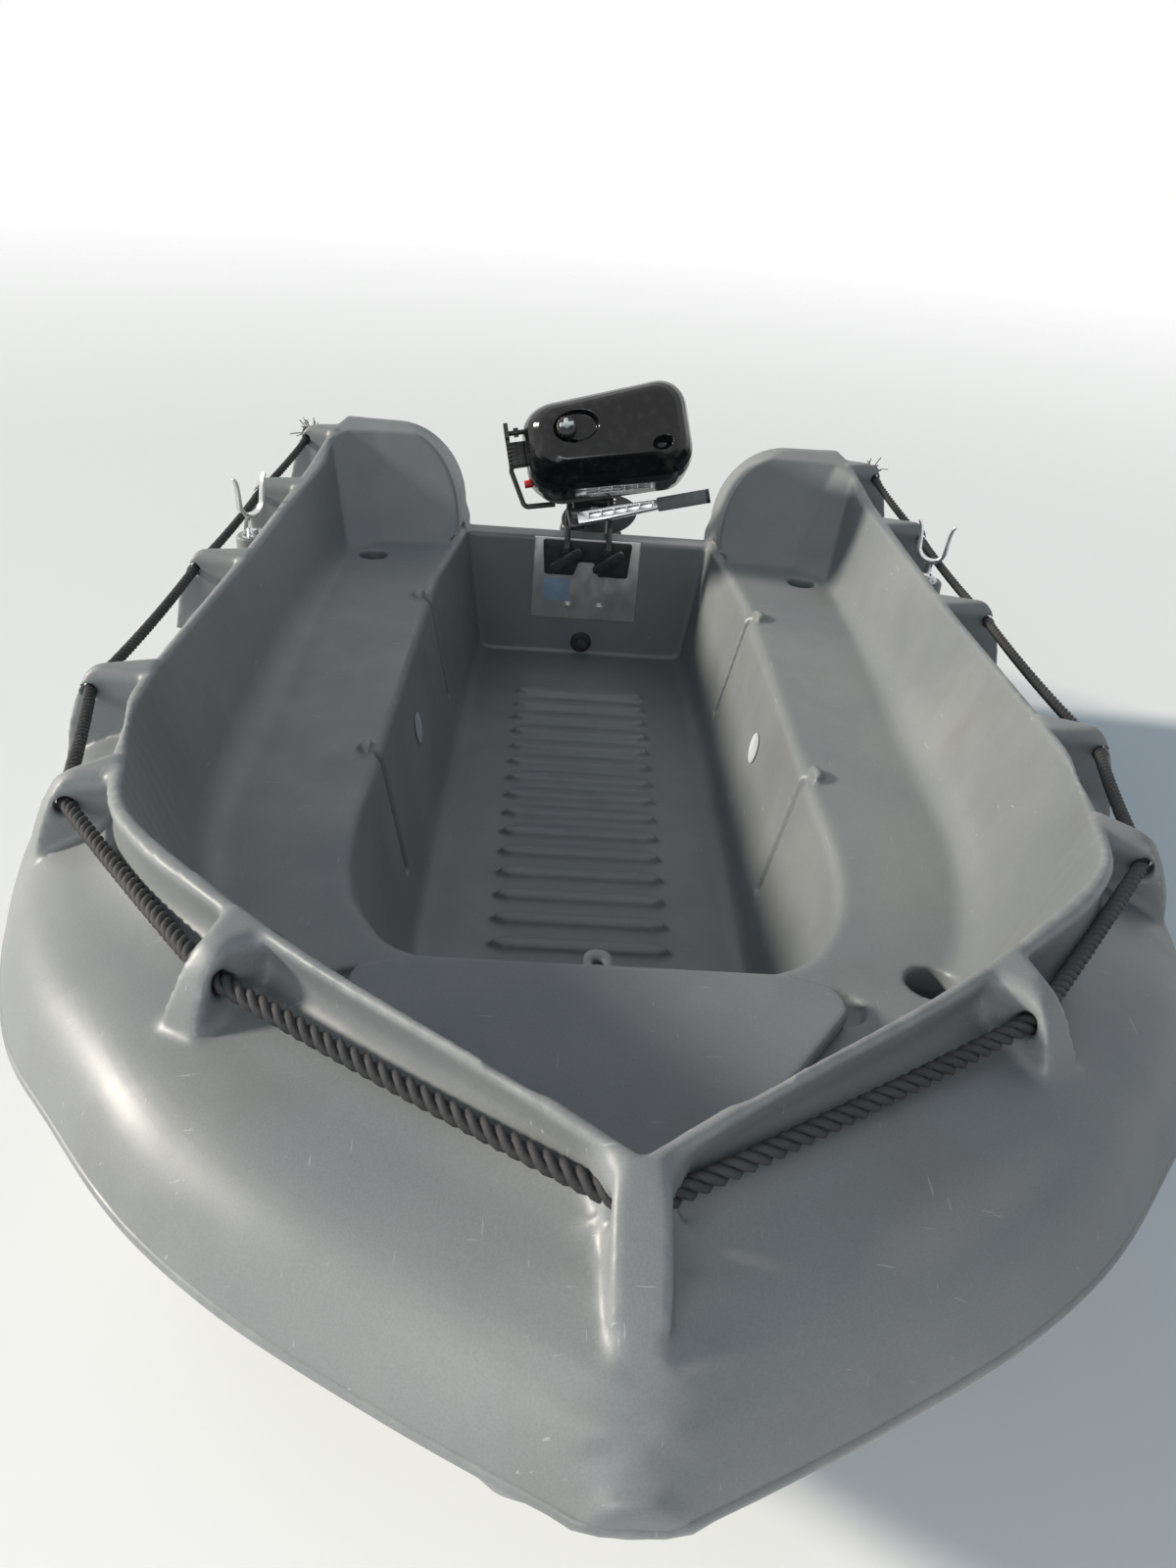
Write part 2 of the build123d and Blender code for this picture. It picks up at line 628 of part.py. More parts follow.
def build_propeller():
    with BuildPart() as prop:
        with Locations(Location((GEARCASE_REAR_X - 1, 0, PROP_Z), (0, -90, 0))):
            Cylinder(22, 44, align=(Align.CENTER, Align.CENTER, Align.MIN))
        with Locations(Location((GEARCASE_REAR_X - 45, 0, PROP_Z), (0, -90, 0))):
            Cone(14, 6, 18, align=(Align.CENTER, Align.CENTER, Align.MIN))
        for turn in range(PROP_BLADES):
            angle = 360 / PROP_BLADES * turn
            up = (0, -math.sin(math.radians(angle)), math.cos(math.radians(angle)))
            side = (0, math.cos(math.radians(angle)), math.sin(math.radians(angle)))
            for r, chord, pitch in ((BLADE_ROOT_R, 34, 55), (BLADE_MID_R, 62, 38), (PROP_R, 26, 28)):
                lean = math.radians(pitch)
                chord_dir = (math.sin(lean), math.cos(lean) * side[1], math.cos(lean) * side[2])
                centre = (GEARCASE_REAR_X - 23, r * up[1], PROP_Z + r * up[2])
                with BuildSketch(Plane(origin=centre, x_dir=chord_dir, z_dir=up)):
                    Rectangle(chord, 4)
            loft()
    return prop


def build_pan():
    with BuildPart() as pan:
        with BuildSketch(Plane.XY.offset(PAN_LOW_Z)):
            with Locations((COWL_X, 0)):
                RectangleRounded(COWL_LENGTH - 60, COWL_WIDTH - 50, 50)
        with BuildSketch(Plane.XY.offset(COWL_LOW_Z)):
            with Locations((COWL_X, 0)):
                RectangleRounded(COWL_LENGTH - 8, COWL_WIDTH - 8, 66)
        loft()
    return pan


def build_cowl():
    with BuildPart() as cowl:
        for z, length, width, radius in COWL_SECTIONS:
            with BuildSketch(Plane.XY.offset(z)):
                with Locations((COWL_X, 0)):
                    RectangleRounded(length, width, radius)
        loft()
        with Locations((FUEL_X, FUEL_Y, COWL_TOP_Z)):
            Cylinder(27, 12, mode=Mode.SUBTRACT)
    return cowl


def build_fuel_cap():
    with BuildPart() as cap:
        with Locations((FUEL_X, FUEL_Y, COWL_TOP_Z - 6)):
            Cylinder(21, 16, align=(Align.CENTER, Align.CENTER, Align.MIN))
            Cylinder(9, 26, align=(Align.CENTER, Align.CENTER, Align.MIN))
    return cap


def build_starter():
    with BuildPart() as starter:
        with Locations((COWL_X + COWL_LENGTH / 2 + 14, 0, 205)):
            Box(36, 50, 22)
        add(build_cowl().part, mode=Mode.SUBTRACT)
    return starter


def build_stop():
    with BuildPart() as stop:
        with Locations(Location((COWL_X + COWL_LENGTH / 2 - 8, 52, 165), (0, 90, 0))):
            Cylinder(8, 20, align=(Align.CENTER, Align.CENTER, Align.MIN))
        add(build_cowl().part, mode=Mode.SUBTRACT)
    return stop


def build_carry():
    with BuildPart() as carry:
        with BuildLine(Plane.XY.offset(112)) as bar:
            FilletPolyline((30, 89), (96, 86), (114, 0), (52, -34), radius=12)
        with BuildSketch(Plane(origin=bar.line @ 0, z_dir=bar.line % 0)):
            Rectangle(10, 8)
        sweep(path=bar.line)
        add(build_pan().part, mode=Mode.SUBTRACT)
    return carry


def build_tiller_yoke():
    """Bracket under the pan whose fork carries the tiller's pivot pin."""
    with BuildPart() as yoke:
        with Locations((TILLER_X, TILLER_Y - 44, TILLER_Z + 3)):
            Box(36, 58, 16)
        for y in (TILLER_Y - 18, TILLER_Y + 18):
            with Locations((TILLER_X + 4, y, TILLER_Z)):
                Box(44, 6, 28)
        with Locations((TILLER_X + 29, TILLER_Y, TILLER_Z)):
            Box(8, 42, 28)
        with Locations((TILLER_X, TILLER_Y, TILLER_Z)):
            Cylinder(4, 50, rotation=(90, 0, 0))
        add(build_pan().part, mode=Mode.SUBTRACT)
    return yoke


def build_tiller():
    """The arm in its own frame: pivot at the origin, arm along X, ribbed and open below."""
    with BuildPart() as tiller:
        with BuildSketch(Plane.XY.offset(-12)):
            with BuildLine():
                Polyline((-12, -13), (60, -13), (TILLER_LENGTH, -9), (TILLER_LENGTH, 9), (60, 13), (-12, 13),
                         close=True)
            make_face()
        extrude(amount=24)
        with BuildSketch(Plane.XY.offset(-12)):
            with Locations([(TILLER_POCKET_X + i * TILLER_POCKET_PITCH, 0) for i in range(TILLER_POCKETS)]):
                Rectangle(TILLER_POCKET_PITCH - 3, 12)
        extrude(amount=20, mode=Mode.SUBTRACT)
        Cylinder(4.05, 40, rotation=(90, 0, 0), mode=Mode.SUBTRACT)
    return tiller


def build_grip():
    with BuildPart() as grip:
        with BuildSketch(Plane.YZ.offset(TILLER_LENGTH)):
            Circle(15)
        extrude(amount=112)
    return grip


def place(part, pose, name):
    """Sets a motor piece in its parked pose."""
    with BuildPart() as placed:
        add(part.moved(pose))
    save(placed.part, name)


# Hull and its fittings
hull = build_hull()
save(hull.part, "hull")
lid = build_lid()
save(lid.part, "bow_lid")
with BuildPart() as lid_pin:
    with Locations((LID_HINGE_X, 0, LID_HINGE_Z)):
        Cylinder(HINGE_PIN_R, 2 * HINGE_HALF + 28, rotation=(90, 0, 0))
save(lid_pin.part, "lid_hinge_pin")
rope = build_rope()
save(rope.part, "grab_rope")
for side, name, swing in ((1, "port", 60), (-1, "starboard", 140)):
    save(build_socket(side).part, f"rowlock_socket_{name}")
    rowlock_place = Location((ROWLOCK_X, side * ROWLOCK_Y, ROWLOCK_PAD_Z + FLANGE_THICK + ROWLOCK_GAP), (0, 0, swing))
    place(build_rowlock().part, rowlock_place, f"rowlock_{name}")
    save(build_disc(side).part, f"well_disc_{name}")
    save(build_clamp_screw(side).part, f"clamp_screw_{name}")
save(build_plate().part, "transom_plate")
save(build_pad().part, "clamp_pad")
save(build_screws().part, "plate_screws")
save(build_label().part, "plate_label")
save(build_drain().part, "drain_fitting")

# Outboard motor
save(build_clamp().part, "motor_clamp")
save(build_tilt_pin().part, "tilt_pin")
place(build_swivel().part, HEAD, "swivel_bracket")
for piece, name in ((build_leg(), "motor_leg"), (build_propeller(), "propeller"), (build_pan(), "motor_pan"),
                    (build_cowl(), "motor_cowl"), (build_fuel_cap(), "fuel_cap"), (build_starter(), "starter_grip"),
                    (build_stop(), "stop_button"), (build_carry(), "carry_handle"),
                    (build_tiller_yoke(), "tiller_yoke")):
    place(piece.part, TURNED, name)
for piece, name in ((build_tiller(), "tiller_arm"), (build_grip(), "tiller_grip")):
    place(piece.part, FOLDED, name)
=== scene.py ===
import math
import random

import bmesh
import bpy
from mathutils import Matrix, Vector


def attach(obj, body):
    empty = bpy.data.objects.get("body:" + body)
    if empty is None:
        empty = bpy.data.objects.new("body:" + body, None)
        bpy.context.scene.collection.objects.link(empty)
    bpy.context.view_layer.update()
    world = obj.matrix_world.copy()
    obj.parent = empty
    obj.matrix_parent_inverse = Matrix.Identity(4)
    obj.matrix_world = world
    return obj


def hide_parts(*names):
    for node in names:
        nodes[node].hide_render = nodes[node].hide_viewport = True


# Metres; +X to the bow, +Y to port, +Z up, with the origin on the ground under the keel.
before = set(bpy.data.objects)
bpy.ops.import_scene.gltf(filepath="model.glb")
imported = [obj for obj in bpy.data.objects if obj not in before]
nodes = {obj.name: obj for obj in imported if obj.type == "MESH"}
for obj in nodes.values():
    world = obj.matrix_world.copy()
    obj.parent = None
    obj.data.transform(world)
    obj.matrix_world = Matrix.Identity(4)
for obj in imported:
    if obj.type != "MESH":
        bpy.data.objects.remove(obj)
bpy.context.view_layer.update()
random.seed(7)

# Camera: a phone held over the bow, looking aft and down, with a slight roll
CAMERA_AT = Vector((1.502, -0.074, 1.183))
CAMERA_AIM = Vector((-0.236, 0.007, 0.196))
CAMERA_ROLL = math.radians(4.71)
CAMERA_LENS = 27.03

# Rope holes of the port lugs, aft to bow, with the bow lug last: (x, y, z)
ROPE_HOLES = [(-1.082, 0.620, 0.532), (-0.780, 0.654, 0.496), (-0.350, 0.656, 0.495), (0.176, 0.634, 0.526),
              (0.528, 0.528, 0.578), (0.832, 0.303, 0.625), (1.020, 0.0, 0.621)]
ROPE_R = 0.0076
ROPE_LAY = 0.036
ROPE_SAG = 0.012
KNOT_ROPE_R = 0.0062
KNOT_LAY = 0.035
KNOT_SIZE = 0.0135
KNOT_AFT = 0.040
FRAY_FIBRES = 26

# CAD vertices closer together than this are one
MERGE_DISTANCE = 0.00002


def link(name, mesh):
    piece = bpy.data.objects.new(name, mesh)
    bpy.context.scene.collection.objects.link(piece)
    return piece


def applied(piece):
    """The piece with its modifiers made real."""
    bpy.context.view_layer.update()
    graph = bpy.context.evaluated_depsgraph_get()
    mesh = bpy.data.meshes.new_from_object(piece.evaluated_get(graph))
    piece.modifiers.clear()
    piece.data = mesh
    return piece


def copy_of(node_name, name):
    """A new piece with a CAD node's shape, its vertices merged, that stands for the node."""
    mesh = nodes[node_name].data.copy()
    mesh.materials.clear()
    shape = bmesh.new()
    shape.from_mesh(mesh)
    bmesh.ops.remove_doubles(shape, verts=shape.verts, dist=MERGE_DISTANCE)
    shape.to_mesh(mesh)
    shape.free()
    piece = link(name, mesh)
    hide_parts(node_name)
    return piece


def shade_smooth(piece, angle=None):
    """Smooth shading, broken at edges sharper than the angle in degrees."""
    for face in piece.data.polygons:
        face.use_smooth = True
    if angle is not None:
        piece.data.set_sharp_from_angle(angle=math.radians(angle))


def remeshed(piece, voxel, passes, keep):
    """The piece as one skin with the soft edges of a moulding, thinned out to a share of its faces."""
    remesh = piece.modifiers.new("voxels", "REMESH")
    remesh.mode = "VOXEL"
    remesh.voxel_size = voxel
    rounding = piece.modifiers.new("rounding", "SMOOTH")
    rounding.factor = 0.5
    rounding.iterations = passes
    fewer = piece.modifiers.new("fewer", "DECIMATE")
    fewer.ratio = keep
    applied(piece)
    shade_smooth(piece)
    return piece


def bevelled(piece, width, segments, bevel_angle, shade_angle):
    """The piece with the edges sharper than an angle broken."""
    bevel = piece.modifiers.new("edges", "BEVEL")
    bevel.width = width
    bevel.segments = segments
    bevel.limit_method = "ANGLE"
    bevel.angle_limit = math.radians(bevel_angle)
    applied(piece)
    shade_smooth(piece, shade_angle)
    return piece


# Materials

def new_material(name):
    material = bpy.data.materials.new(name)
    material.use_nodes = True
    tree = material.node_tree
    shader = tree.nodes["Principled BSDF"]
    return material, tree, shader


def node(tree, kind, **inputs):
    made = tree.nodes.new(kind)
    for key, value in inputs.items():
        made.inputs[key.replace("_", " ")].default_value = value
    return made


def grey(value):
    return (value, value, value, 1)


def ramp(tree, source, low, high, start=0.0, end=1.0):
    """Grey that goes from start to end while the source goes from low to high."""
    made = tree.nodes.new("ShaderNodeValToRGB")
    made.color_ramp.elements[0].position = low
    made.color_ramp.elements[1].position = high
    made.color_ramp.elements[0].color = grey(start)
    made.color_ramp.elements[1].color = grey(end)
    tree.links.new(source, made.inputs["Fac"])
    return made.outputs["Color"]


def mixed(tree, factor, first, second, blend="MIX"):
    mix = tree.nodes.new("ShaderNodeMix")
    mix.data_type = "RGBA"
    mix.blend_type = blend
    if isinstance(factor, float):
        mix.inputs[0].default_value = factor
    else:
        tree.links.new(factor, mix.inputs[0])
    for socket, value in ((mix.inputs[6], first), (mix.inputs[7], second)):
        if isinstance(value, tuple):
            socket.default_value = value
        else:
            tree.links.new(value, socket)
    return mix.outputs[2]


def noise(tree, coordinates, scale, detail=3.0, stretch=None):
    """Noise over the object's own coordinates, drawn out along an axis where asked."""
    texture = node(tree, "ShaderNodeTexNoise", Scale=scale, Detail=detail)
    source = coordinates
    if stretch is not None:
        mapping = tree.nodes.new("ShaderNodeMapping")
        mapping.inputs["Scale"].default_value = stretch
        tree.links.new(coordinates, mapping.inputs["Vector"])
        source = mapping.outputs["Vector"]
    tree.links.new(source, texture.inputs["Vector"])
    return texture.outputs["Fac"]


def bump(tree, shader, height, strength, distance, below=None):
    made = node(tree, "ShaderNodeBump", Strength=strength, Distance=distance)
    tree.links.new(height, made.inputs["Height"])
    if below is not None:
        tree.links.new(below, made.inputs["Normal"])
    tree.links.new(made.outputs["Normal"], shader.inputs["Normal"])
    return made.outputs["Normal"]


def coordinates_of(tree):
    return tree.nodes.new("ShaderNodeTexCoord").outputs["Object"]


STAIN = (0.125, 0.120, 0.105, 1)
SCRATCH = (0.42, 0.43, 0.43, 1)
SCUFF = (0.40, 0.40, 0.385, 1)
DUST = (0.25, 0.25, 0.24, 1)
ROPE_BLACK = (0.016, 0.016, 0.018, 1)
ROPE_FADED = (0.045, 0.044, 0.043, 1)
# Pale colour of the rope's glints: a painted highlight
ROPE_PAINTED_GLINT = (0.10, 0.10, 0.10, 1)


def polyethylene(name, base, worn):
    """Moulded grey polyethylene: mottled, stained, finely grained, with short scratches and scuffed edges."""
    material, tree, shader = new_material(name)
    place = coordinates_of(tree)
    colour = mixed(tree, ramp(tree, noise(tree, place, 3.2, 6.0), 0.38, 0.68), base, worn)
    speckle = ramp(tree, noise(tree, place, 700.0, 2.0), 0.35, 0.65, 0.18, 0.55)
    colour = mixed(tree, 0.16, colour, speckle, "OVERLAY")
    stains = ramp(tree, noise(tree, place, 7.0, 8.0, (1, 1, 0.4)), 0.56, 0.80, 0, 0.45)
    colour = mixed(tree, stains, colour, STAIN)
    lengthwise = ramp(tree, noise(tree, place, 22.0, 4.0, (1, 16, 3)), 0.715, 0.735)
    crosswise = ramp(tree, noise(tree, place, 19.0, 4.0, (15, 1.2, 5)), 0.72, 0.74)
    scratches = mixed(tree, 0.55, mixed(tree, 1.0, lengthwise, crosswise, "LIGHTEN"), grey(0))
    colour = mixed(tree, scratches, colour, SCRATCH)
    edges = ramp(tree, tree.nodes.new("ShaderNodeNewGeometry").outputs["Pointiness"], 0.52, 0.60, 0, 0.8)
    scuffs = ramp(tree, noise(tree, place, 38.0, 6.0), 0.42, 0.62)
    colour = mixed(tree, mixed(tree, 1.0, edges, scuffs, "MULTIPLY"), colour, SCUFF)
    tree.links.new(colour, shader.inputs["Base Color"])
    rough = ramp(tree, noise(tree, place, 12.0, 5.0), 0.3, 0.7, 0.40, 0.54)
    tree.links.new(rough, shader.inputs["Roughness"])
    waves = bump(tree, shader, noise(tree, place, 9.0, 3.0), 0.22, 0.004)
    bump(tree, shader, noise(tree, place, 1300.0, 2.0), 0.12, 0.0004, waves)
    return material


def satin(name, colour, rough, grain_scale=700.0, grain=0.15, metallic=0.0, worn=None):
    """A painted, moulded or bare surface with fine grain, blotches and pale worn spots."""
    material, tree, shader = new_material(name)
    place = coordinates_of(tree)
    worn = worn or tuple(min(1.0, c * 1.6 + 0.02) for c in colour[:3]) + (1,)
    blotches = ramp(tree, noise(tree, place, 24.0, 5.0), 0.45, 0.75, 0, 0.6)
    tree.links.new(mixed(tree, blotches, colour, worn), shader.inputs["Base Color"])
    rough_map = ramp(tree, noise(tree, place, 40.0, 4.0), 0.3, 0.7, rough * 0.8, min(1, rough * 1.25))
    tree.links.new(rough_map, shader.inputs["Roughness"])
    shader.inputs["Metallic"].default_value = metallic
    bump(tree, shader, noise(tree, place, grain_scale, 3.0), grain, 0.0005)
    return material


def gloss(name, colour):
    """Glossy paint with smears and a little dust."""
    material, tree, shader = new_material(name)
    place = coordinates_of(tree)
    smears = ramp(tree, noise(tree, place, 18.0, 5.0), 0.35, 0.8, 0.07, 0.22)
    tree.links.new(smears, shader.inputs["Roughness"])
    dusty = ramp(tree, noise(tree, place, 60.0, 6.0), 0.5, 0.85, 0, 0.10)
    tree.links.new(mixed(tree, dusty, colour, DUST), shader.inputs["Base Color"])
    shader.inputs["Specular IOR Level"].default_value = 0.35
    bump(tree, shader, noise(tree, place, 30.0, 2.0), 0.03, 0.001)
    return material


def rope_fibre(name):
    """Black synthetic fibre, faded in places, with pale glints painted into its colour as painted highlights.
    """
    material, tree, shader = new_material(name)
    place = coordinates_of(tree)
    fibres = noise(tree, place, 1500.0, 3.0)
    faded = ramp(tree, noise(tree, place, 9.0, 3.0), 0.4, 0.7)
    colour = mixed(tree, faded, ROPE_BLACK, ROPE_FADED)
    # Painted highlight: pale glints mixed into the colour where the fine fibre noise is high
    colour = mixed(tree, ramp(tree, fibres, 0.5, 0.8, 0, 0.5), colour, ROPE_PAINTED_GLINT)
    tree.links.new(colour, shader.inputs["Base Color"])
    shader.inputs["Roughness"].default_value = 0.75
    bump(tree, shader, fibres, 0.5, 0.0008)
    return material


hull_plastic = polyethylene("hull_plastic", (0.172, 0.182, 0.186, 1), (0.222, 0.229, 0.227, 1))
lid_plastic = polyethylene("lid_plastic", (0.165, 0.175, 0.184, 1), (0.205, 0.213, 0.218, 1))
bright_metal = satin("bright_metal", (0.66, 0.67, 0.68, 1), 0.26, 900.0, 0.10, 1.0, (0.52, 0.53, 0.54, 1))
plate_metal = satin("plate_metal", (0.60, 0.61, 0.62, 1), 0.36, 1200.0, 0.12, 1.0, (0.48, 0.49, 0.50, 1))
black_metal = satin("black_metal", (0.018, 0.018, 0.020, 1), 0.36)
black_plastic = satin("black_plastic", (0.016, 0.016, 0.017, 1), 0.46, 500.0, 0.35)
cowl_gloss = gloss("cowl_gloss", (0.006, 0.006, 0.007, 1))
grip_grey = satin("grip_grey", (0.20, 0.205, 0.21, 1), 0.6)
stop_red = satin("stop_red", (0.55, 0.015, 0.012, 1), 0.3)
label_film = satin("label_film", (0.22, 0.30, 0.40, 1), 0.35)
disc_plastic = satin("disc_plastic", (0.42, 0.44, 0.45, 1), 0.4)
vent_plastic = satin("vent_plastic", (0.70, 0.71, 0.70, 1), 0.35)
fibre = rope_fibre("rope_fibre")

# Materials of the CAD nodes that keep their shape
PLAIN_NODES = [
    ("lid_hinge_pin", bright_metal),
    ("rowlock_socket_port", bright_metal),
    ("rowlock_socket_starboard", bright_metal),
    ("well_disc_port", disc_plastic),
    ("well_disc_starboard", disc_plastic),
    ("plate_label", label_film),
    ("tilt_pin", bright_metal),
    ("propeller", black_metal),
]
for name, material in PLAIN_NODES:
    nodes[name].data.materials.clear()
    nodes[name].data.materials.append(material)

# Nodes whose edges are broken: (node, body, width, material)
EDGED_NODES = [
    ("clamp_screw_port", "hull", 0.002, black_metal),
    ("clamp_screw_starboard", "hull", 0.002, black_metal),
    ("transom_plate", "hull", 0.0008, plate_metal),
    ("clamp_pad", "hull", 0.0015, black_plastic),
    ("plate_screws", "hull", 0.0008, bright_metal),
    ("drain_fitting", "hull", 0.002, black_plastic),
    ("motor_clamp", "hull", 0.003, black_metal),
    ("swivel_bracket", "motor_tilt", 0.003, black_metal),
    ("motor_leg", "motor_steer", 0.003, black_metal),
    ("motor_pan", "motor_steer", 0.004, black_plastic),
    ("starter_grip", "motor_steer", 0.004, black_plastic),
    ("stop_button", "motor_steer", 0.001, stop_red),
    ("carry_handle", "motor_steer", 0.002, black_plastic),
    ("tiller_yoke", "motor_steer", 0.002, black_metal),
    ("tiller_arm", "motor_steer", 0.001, bright_metal),
]
for name, body, width, material in EDGED_NODES:
    piece = bevelled(copy_of(name, name + "_dressed"), width, 3, 32, 40)
    piece.data.materials.append(material)
    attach(piece, body)

# Hull, drawn again on the CAD hull's lines with softer form. Its tables are in millimetres.
STERN_X = -1150
BOW_X = 1150
FLOOR_Z = 90
BENCH_Z = 375
TRANSOM_IN_X = -1035
TRANSOM_OUT_X = -1095
# Gunwale's outer edge and the rubbing lip abreast of it: (x, y, z), (x, y, z)
GUNWALE_AND_LIP = [
    ((STERN_X, 545, 575), (STERN_X, 622, 330)),
    ((-1060, 566, 560), (-1060, 655, 330)),
    ((-900, 582, 528), (-900, 680, 330)),
    ((-400, 583, 524), (-400, 688, 335)),
    ((0, 575, 542), (0, 688, 345)),
    ((240, 560, 563), (255, 680, 360)),
    ((368, 526, 584), (403, 648, 390)),
    ((486, 496, 605), (556, 594, 440)),
    ((611, 452, 631), (700, 533, 475)),
    ((697, 395, 645), (790, 483, 498)),
    ((768, 327, 654), (870, 420, 517)),
    ((857, 222, 657), (960, 342, 528)),
    ((915, 141, 656), (1025, 261, 529)),
    ((962, 74, 654), (1088, 150, 526)),
    ((1012, 9, 650), (BOW_X, 24, 523)),
]
# The topsides between the two, as shares of the way (out, down): cove, shelf, bulge, step above the lip
TOPSIDES = [(-0.03, 0.13), (-0.045, 0.25), (0.03, 0.35), (0.22, 0.42), (0.46, 0.46),
            (0.68, 0.53), (0.83, 0.65), (0.94, 0.84), (0.975, 0.93)]
UNDER_LIP = [(STERN_X, 585, 272), (-900, 640, 285), (0, 650, 300), (255, 645, 315), (403, 612, 345),
             (556, 560, 390), (762, 470, 440), (914, 352, 478), (1000, 265, 489), (1090, 118, 500),
             (1134, 40, 512)]
RUNNER_OUT = [(STERN_X, 500, 0), (-900, 520, 0), (300, 510, 0), (500, 470, 60), (700, 390, 190),
              (900, 270, 350), (1035, 160, 446), (1090, 95, 478), (1134, 35, 508)]
RUNNER_IN = [(STERN_X, 400, 0), (300, 400, 0), (500, 370, 45), (700, 300, 150), (900, 220, 300),
             (1035, 130, 422), (1090, 78, 466), (1134, 28, 505)]
TUNNEL_OUT = [(STERN_X, 300, 62), (450, 290, 70), (700, 240, 165), (900, 175, 290), (1035, 105, 390),
              (1090, 60, 452), (1134, 21, 503)]
TUNNEL_IN = [(STERN_X, 130, 60), (450, 130, 66), (700, 125, 120), (900, 110, 225), (1035, 78, 350),
             (1090, 42, 436), (1134, 15, 501)]
KEEL = [(STERN_X, 45, 0), (450, 45, 0), (700, 45, 60), (900, 40, 180), (1035, 30, 328), (1090, 20, 424),
        (1134, 8, 499)]
# Cockpit: foot of the side wall on the bench, and the gunwale's inner edge above it: (x, y), (x, y, z)
CREASE_AND_EDGE = [
    ((-925, 440), (-1075, 470, 570)), ((-850, 500), (-1000, 550, 530)),
    ((-400, 510), (-445, 566, 525)), ((0, 500), (20, 560, 542)), ((230, 488), (285, 537, 568)),
    ((420, 440), (475, 484, 602)), ((560, 370), (620, 432, 632)), ((670, 290), (757, 318, 652)),
    ((770, 180), (849, 216, 656)), ((845, 80), (956, 69, 653)), ((880, 0), (1005, 0, 650)),
]
WELL_FLOOR = [(TRANSOM_IN_X, 232), (-700, 245), (-300, 250), (50, 250), (200, 246), (310, 232),
              (380, 205), (415, 150), (425, 0)]
WELL_TOP = [(TRANSOM_IN_X, 268), (-700, 300), (-300, 303), (60, 305), (200, 308), (310, 298),
            (400, 268), (470, 200), (494, 0)]
GUNWALE_BEVEL = 6
LIP_DEPTH = 9
# The blunt nose: half breadth, half height and height of its middle
NOSE = (20, 15)
NOSE_Z = 531
# From the benches up to above the gunwale
COCKPIT_DEPTH = 325
RECESS_HALF = 270
# Radii of the coves at the foot of the benches and of the well, and of the well's upper edge
BENCH_COVE = 36
WELL_COVE = 22
WELL_EDGE = 14
# The stern quarters' arch, seen from behind: middle, half width and rise, from the low transom's edge
ARCH_AT = (430, 400)
ARCH = (150, 170)
TRANSOM_EDGE = (268, 365)
# Bow locker under the lid: middle, outline about it, and levels (share of the outline, z)
LOCKER_X = 647.5
LOCKER_OUTLINE = [(112, 100), (112, -100), (80, -140), (-80, -140), (-112, -100), (-112, 100), (-80, 140),
                  (80, 140)]
LOCKER_LEVELS = ((0.93, 235), (1.0, 380))
# Rope lugs: hole's x and y, heading in degrees, gunwale's height, fin's depth, distance in to the gunwale
LUGS = [
    (1020, 0, 0, 651, 78, 34),
    (832, 303, 32, 655, 74, 44),
    (528, 528, 62, 608, 98, 46),
    (176, 634, 84, 556, 128, 66),
    (-350, 656, 90, 525, 134, 74),
    (-780, 654, 90, 526, 132, 70),
    (-1082, 620, 94, 562, 128, 60),
]
# Outer face of a fin from top to foot: share of its depth, distance out from the rope hole, half width
SIDE_FIN = [(-0.01, -12, 3), (0.04, -2, 8), (0.12, 6, 12), (0.30, 17, 13), (0.62, 30, 16), (1.0, 38, 20)]
BOW_FIN = [(0.0, -12, 7), (0.05, -2, 12), (0.14, 9, 17), (0.36, 37, 18), (0.62, 62, 18), (0.85, 80, 12),
           (0.97, 88, 5)]
LUG_FLARE = 20
LUG_DROP = 30
LUG_HOLE_R = 10
# Cross ribs of the well's floor: outline about the middle, and levels (share along the boat, share across, z)
RIBS = 16
RIB_FIRST_X = 148
RIB_PITCH = 63.5
RIB_OUTLINE = [(4, 138), (16, 118), (16, -118), (4, -138), (-4, -138), (-16, -118), (-16, 118), (-4, 138)]
RIB_LEVELS = ((1, 1, 86), (1, 1, 90), (0.74, 0.96, 101), (0.62, 0.93, 103))
# Grooves for thwarts down the well's walls, and the raised collar round each one's top
GROOVE_XS = (-596, 18)
GROOVE_ENDS = ((266, 165), (309, 400))
GROOVE_R = 10
COLLAR_Y = 308
COLLAR_R = 25
COLLAR_HEIGHT = 11
CUP_HOLES = [(-815, 440), (478, 372)]
CUP_R = 28
CUP_DEPTH = 90
SCOOP_AT = (530, 262)
SCOOP_R = 26
SCOOP_DEPTH = 12
TOW_HOLE = (1080, 440)
TOW_R = 9
# Rowlock's axis on the port side, and the radius of the moulded pad below its socket
ROWLOCK_AT = (-625, 632)
PAD_R = 31
PAD_TOP = 464
HINGE_LUG_X = 792
HINGE_LUG_Y = 51.5
# Rubbing band: profile (out from the lip, up), and its last points round the nose
BAND_PROFILE = [(-9, -5), (-3, -9.5), (0, -9), (1.2, -7.5), (1.6, -4), (1.2, -1.2), (-0.2, 0.4), (-4, 1.2),
                (-10, -1)]
BAND_NOSE = [(1139, 46, 524), (1146, 33, 523), (1149, 18, 523)]
BAND_TIP = (1149.5, 0, 523)


def metres(point):
    return Vector(point) * 0.001


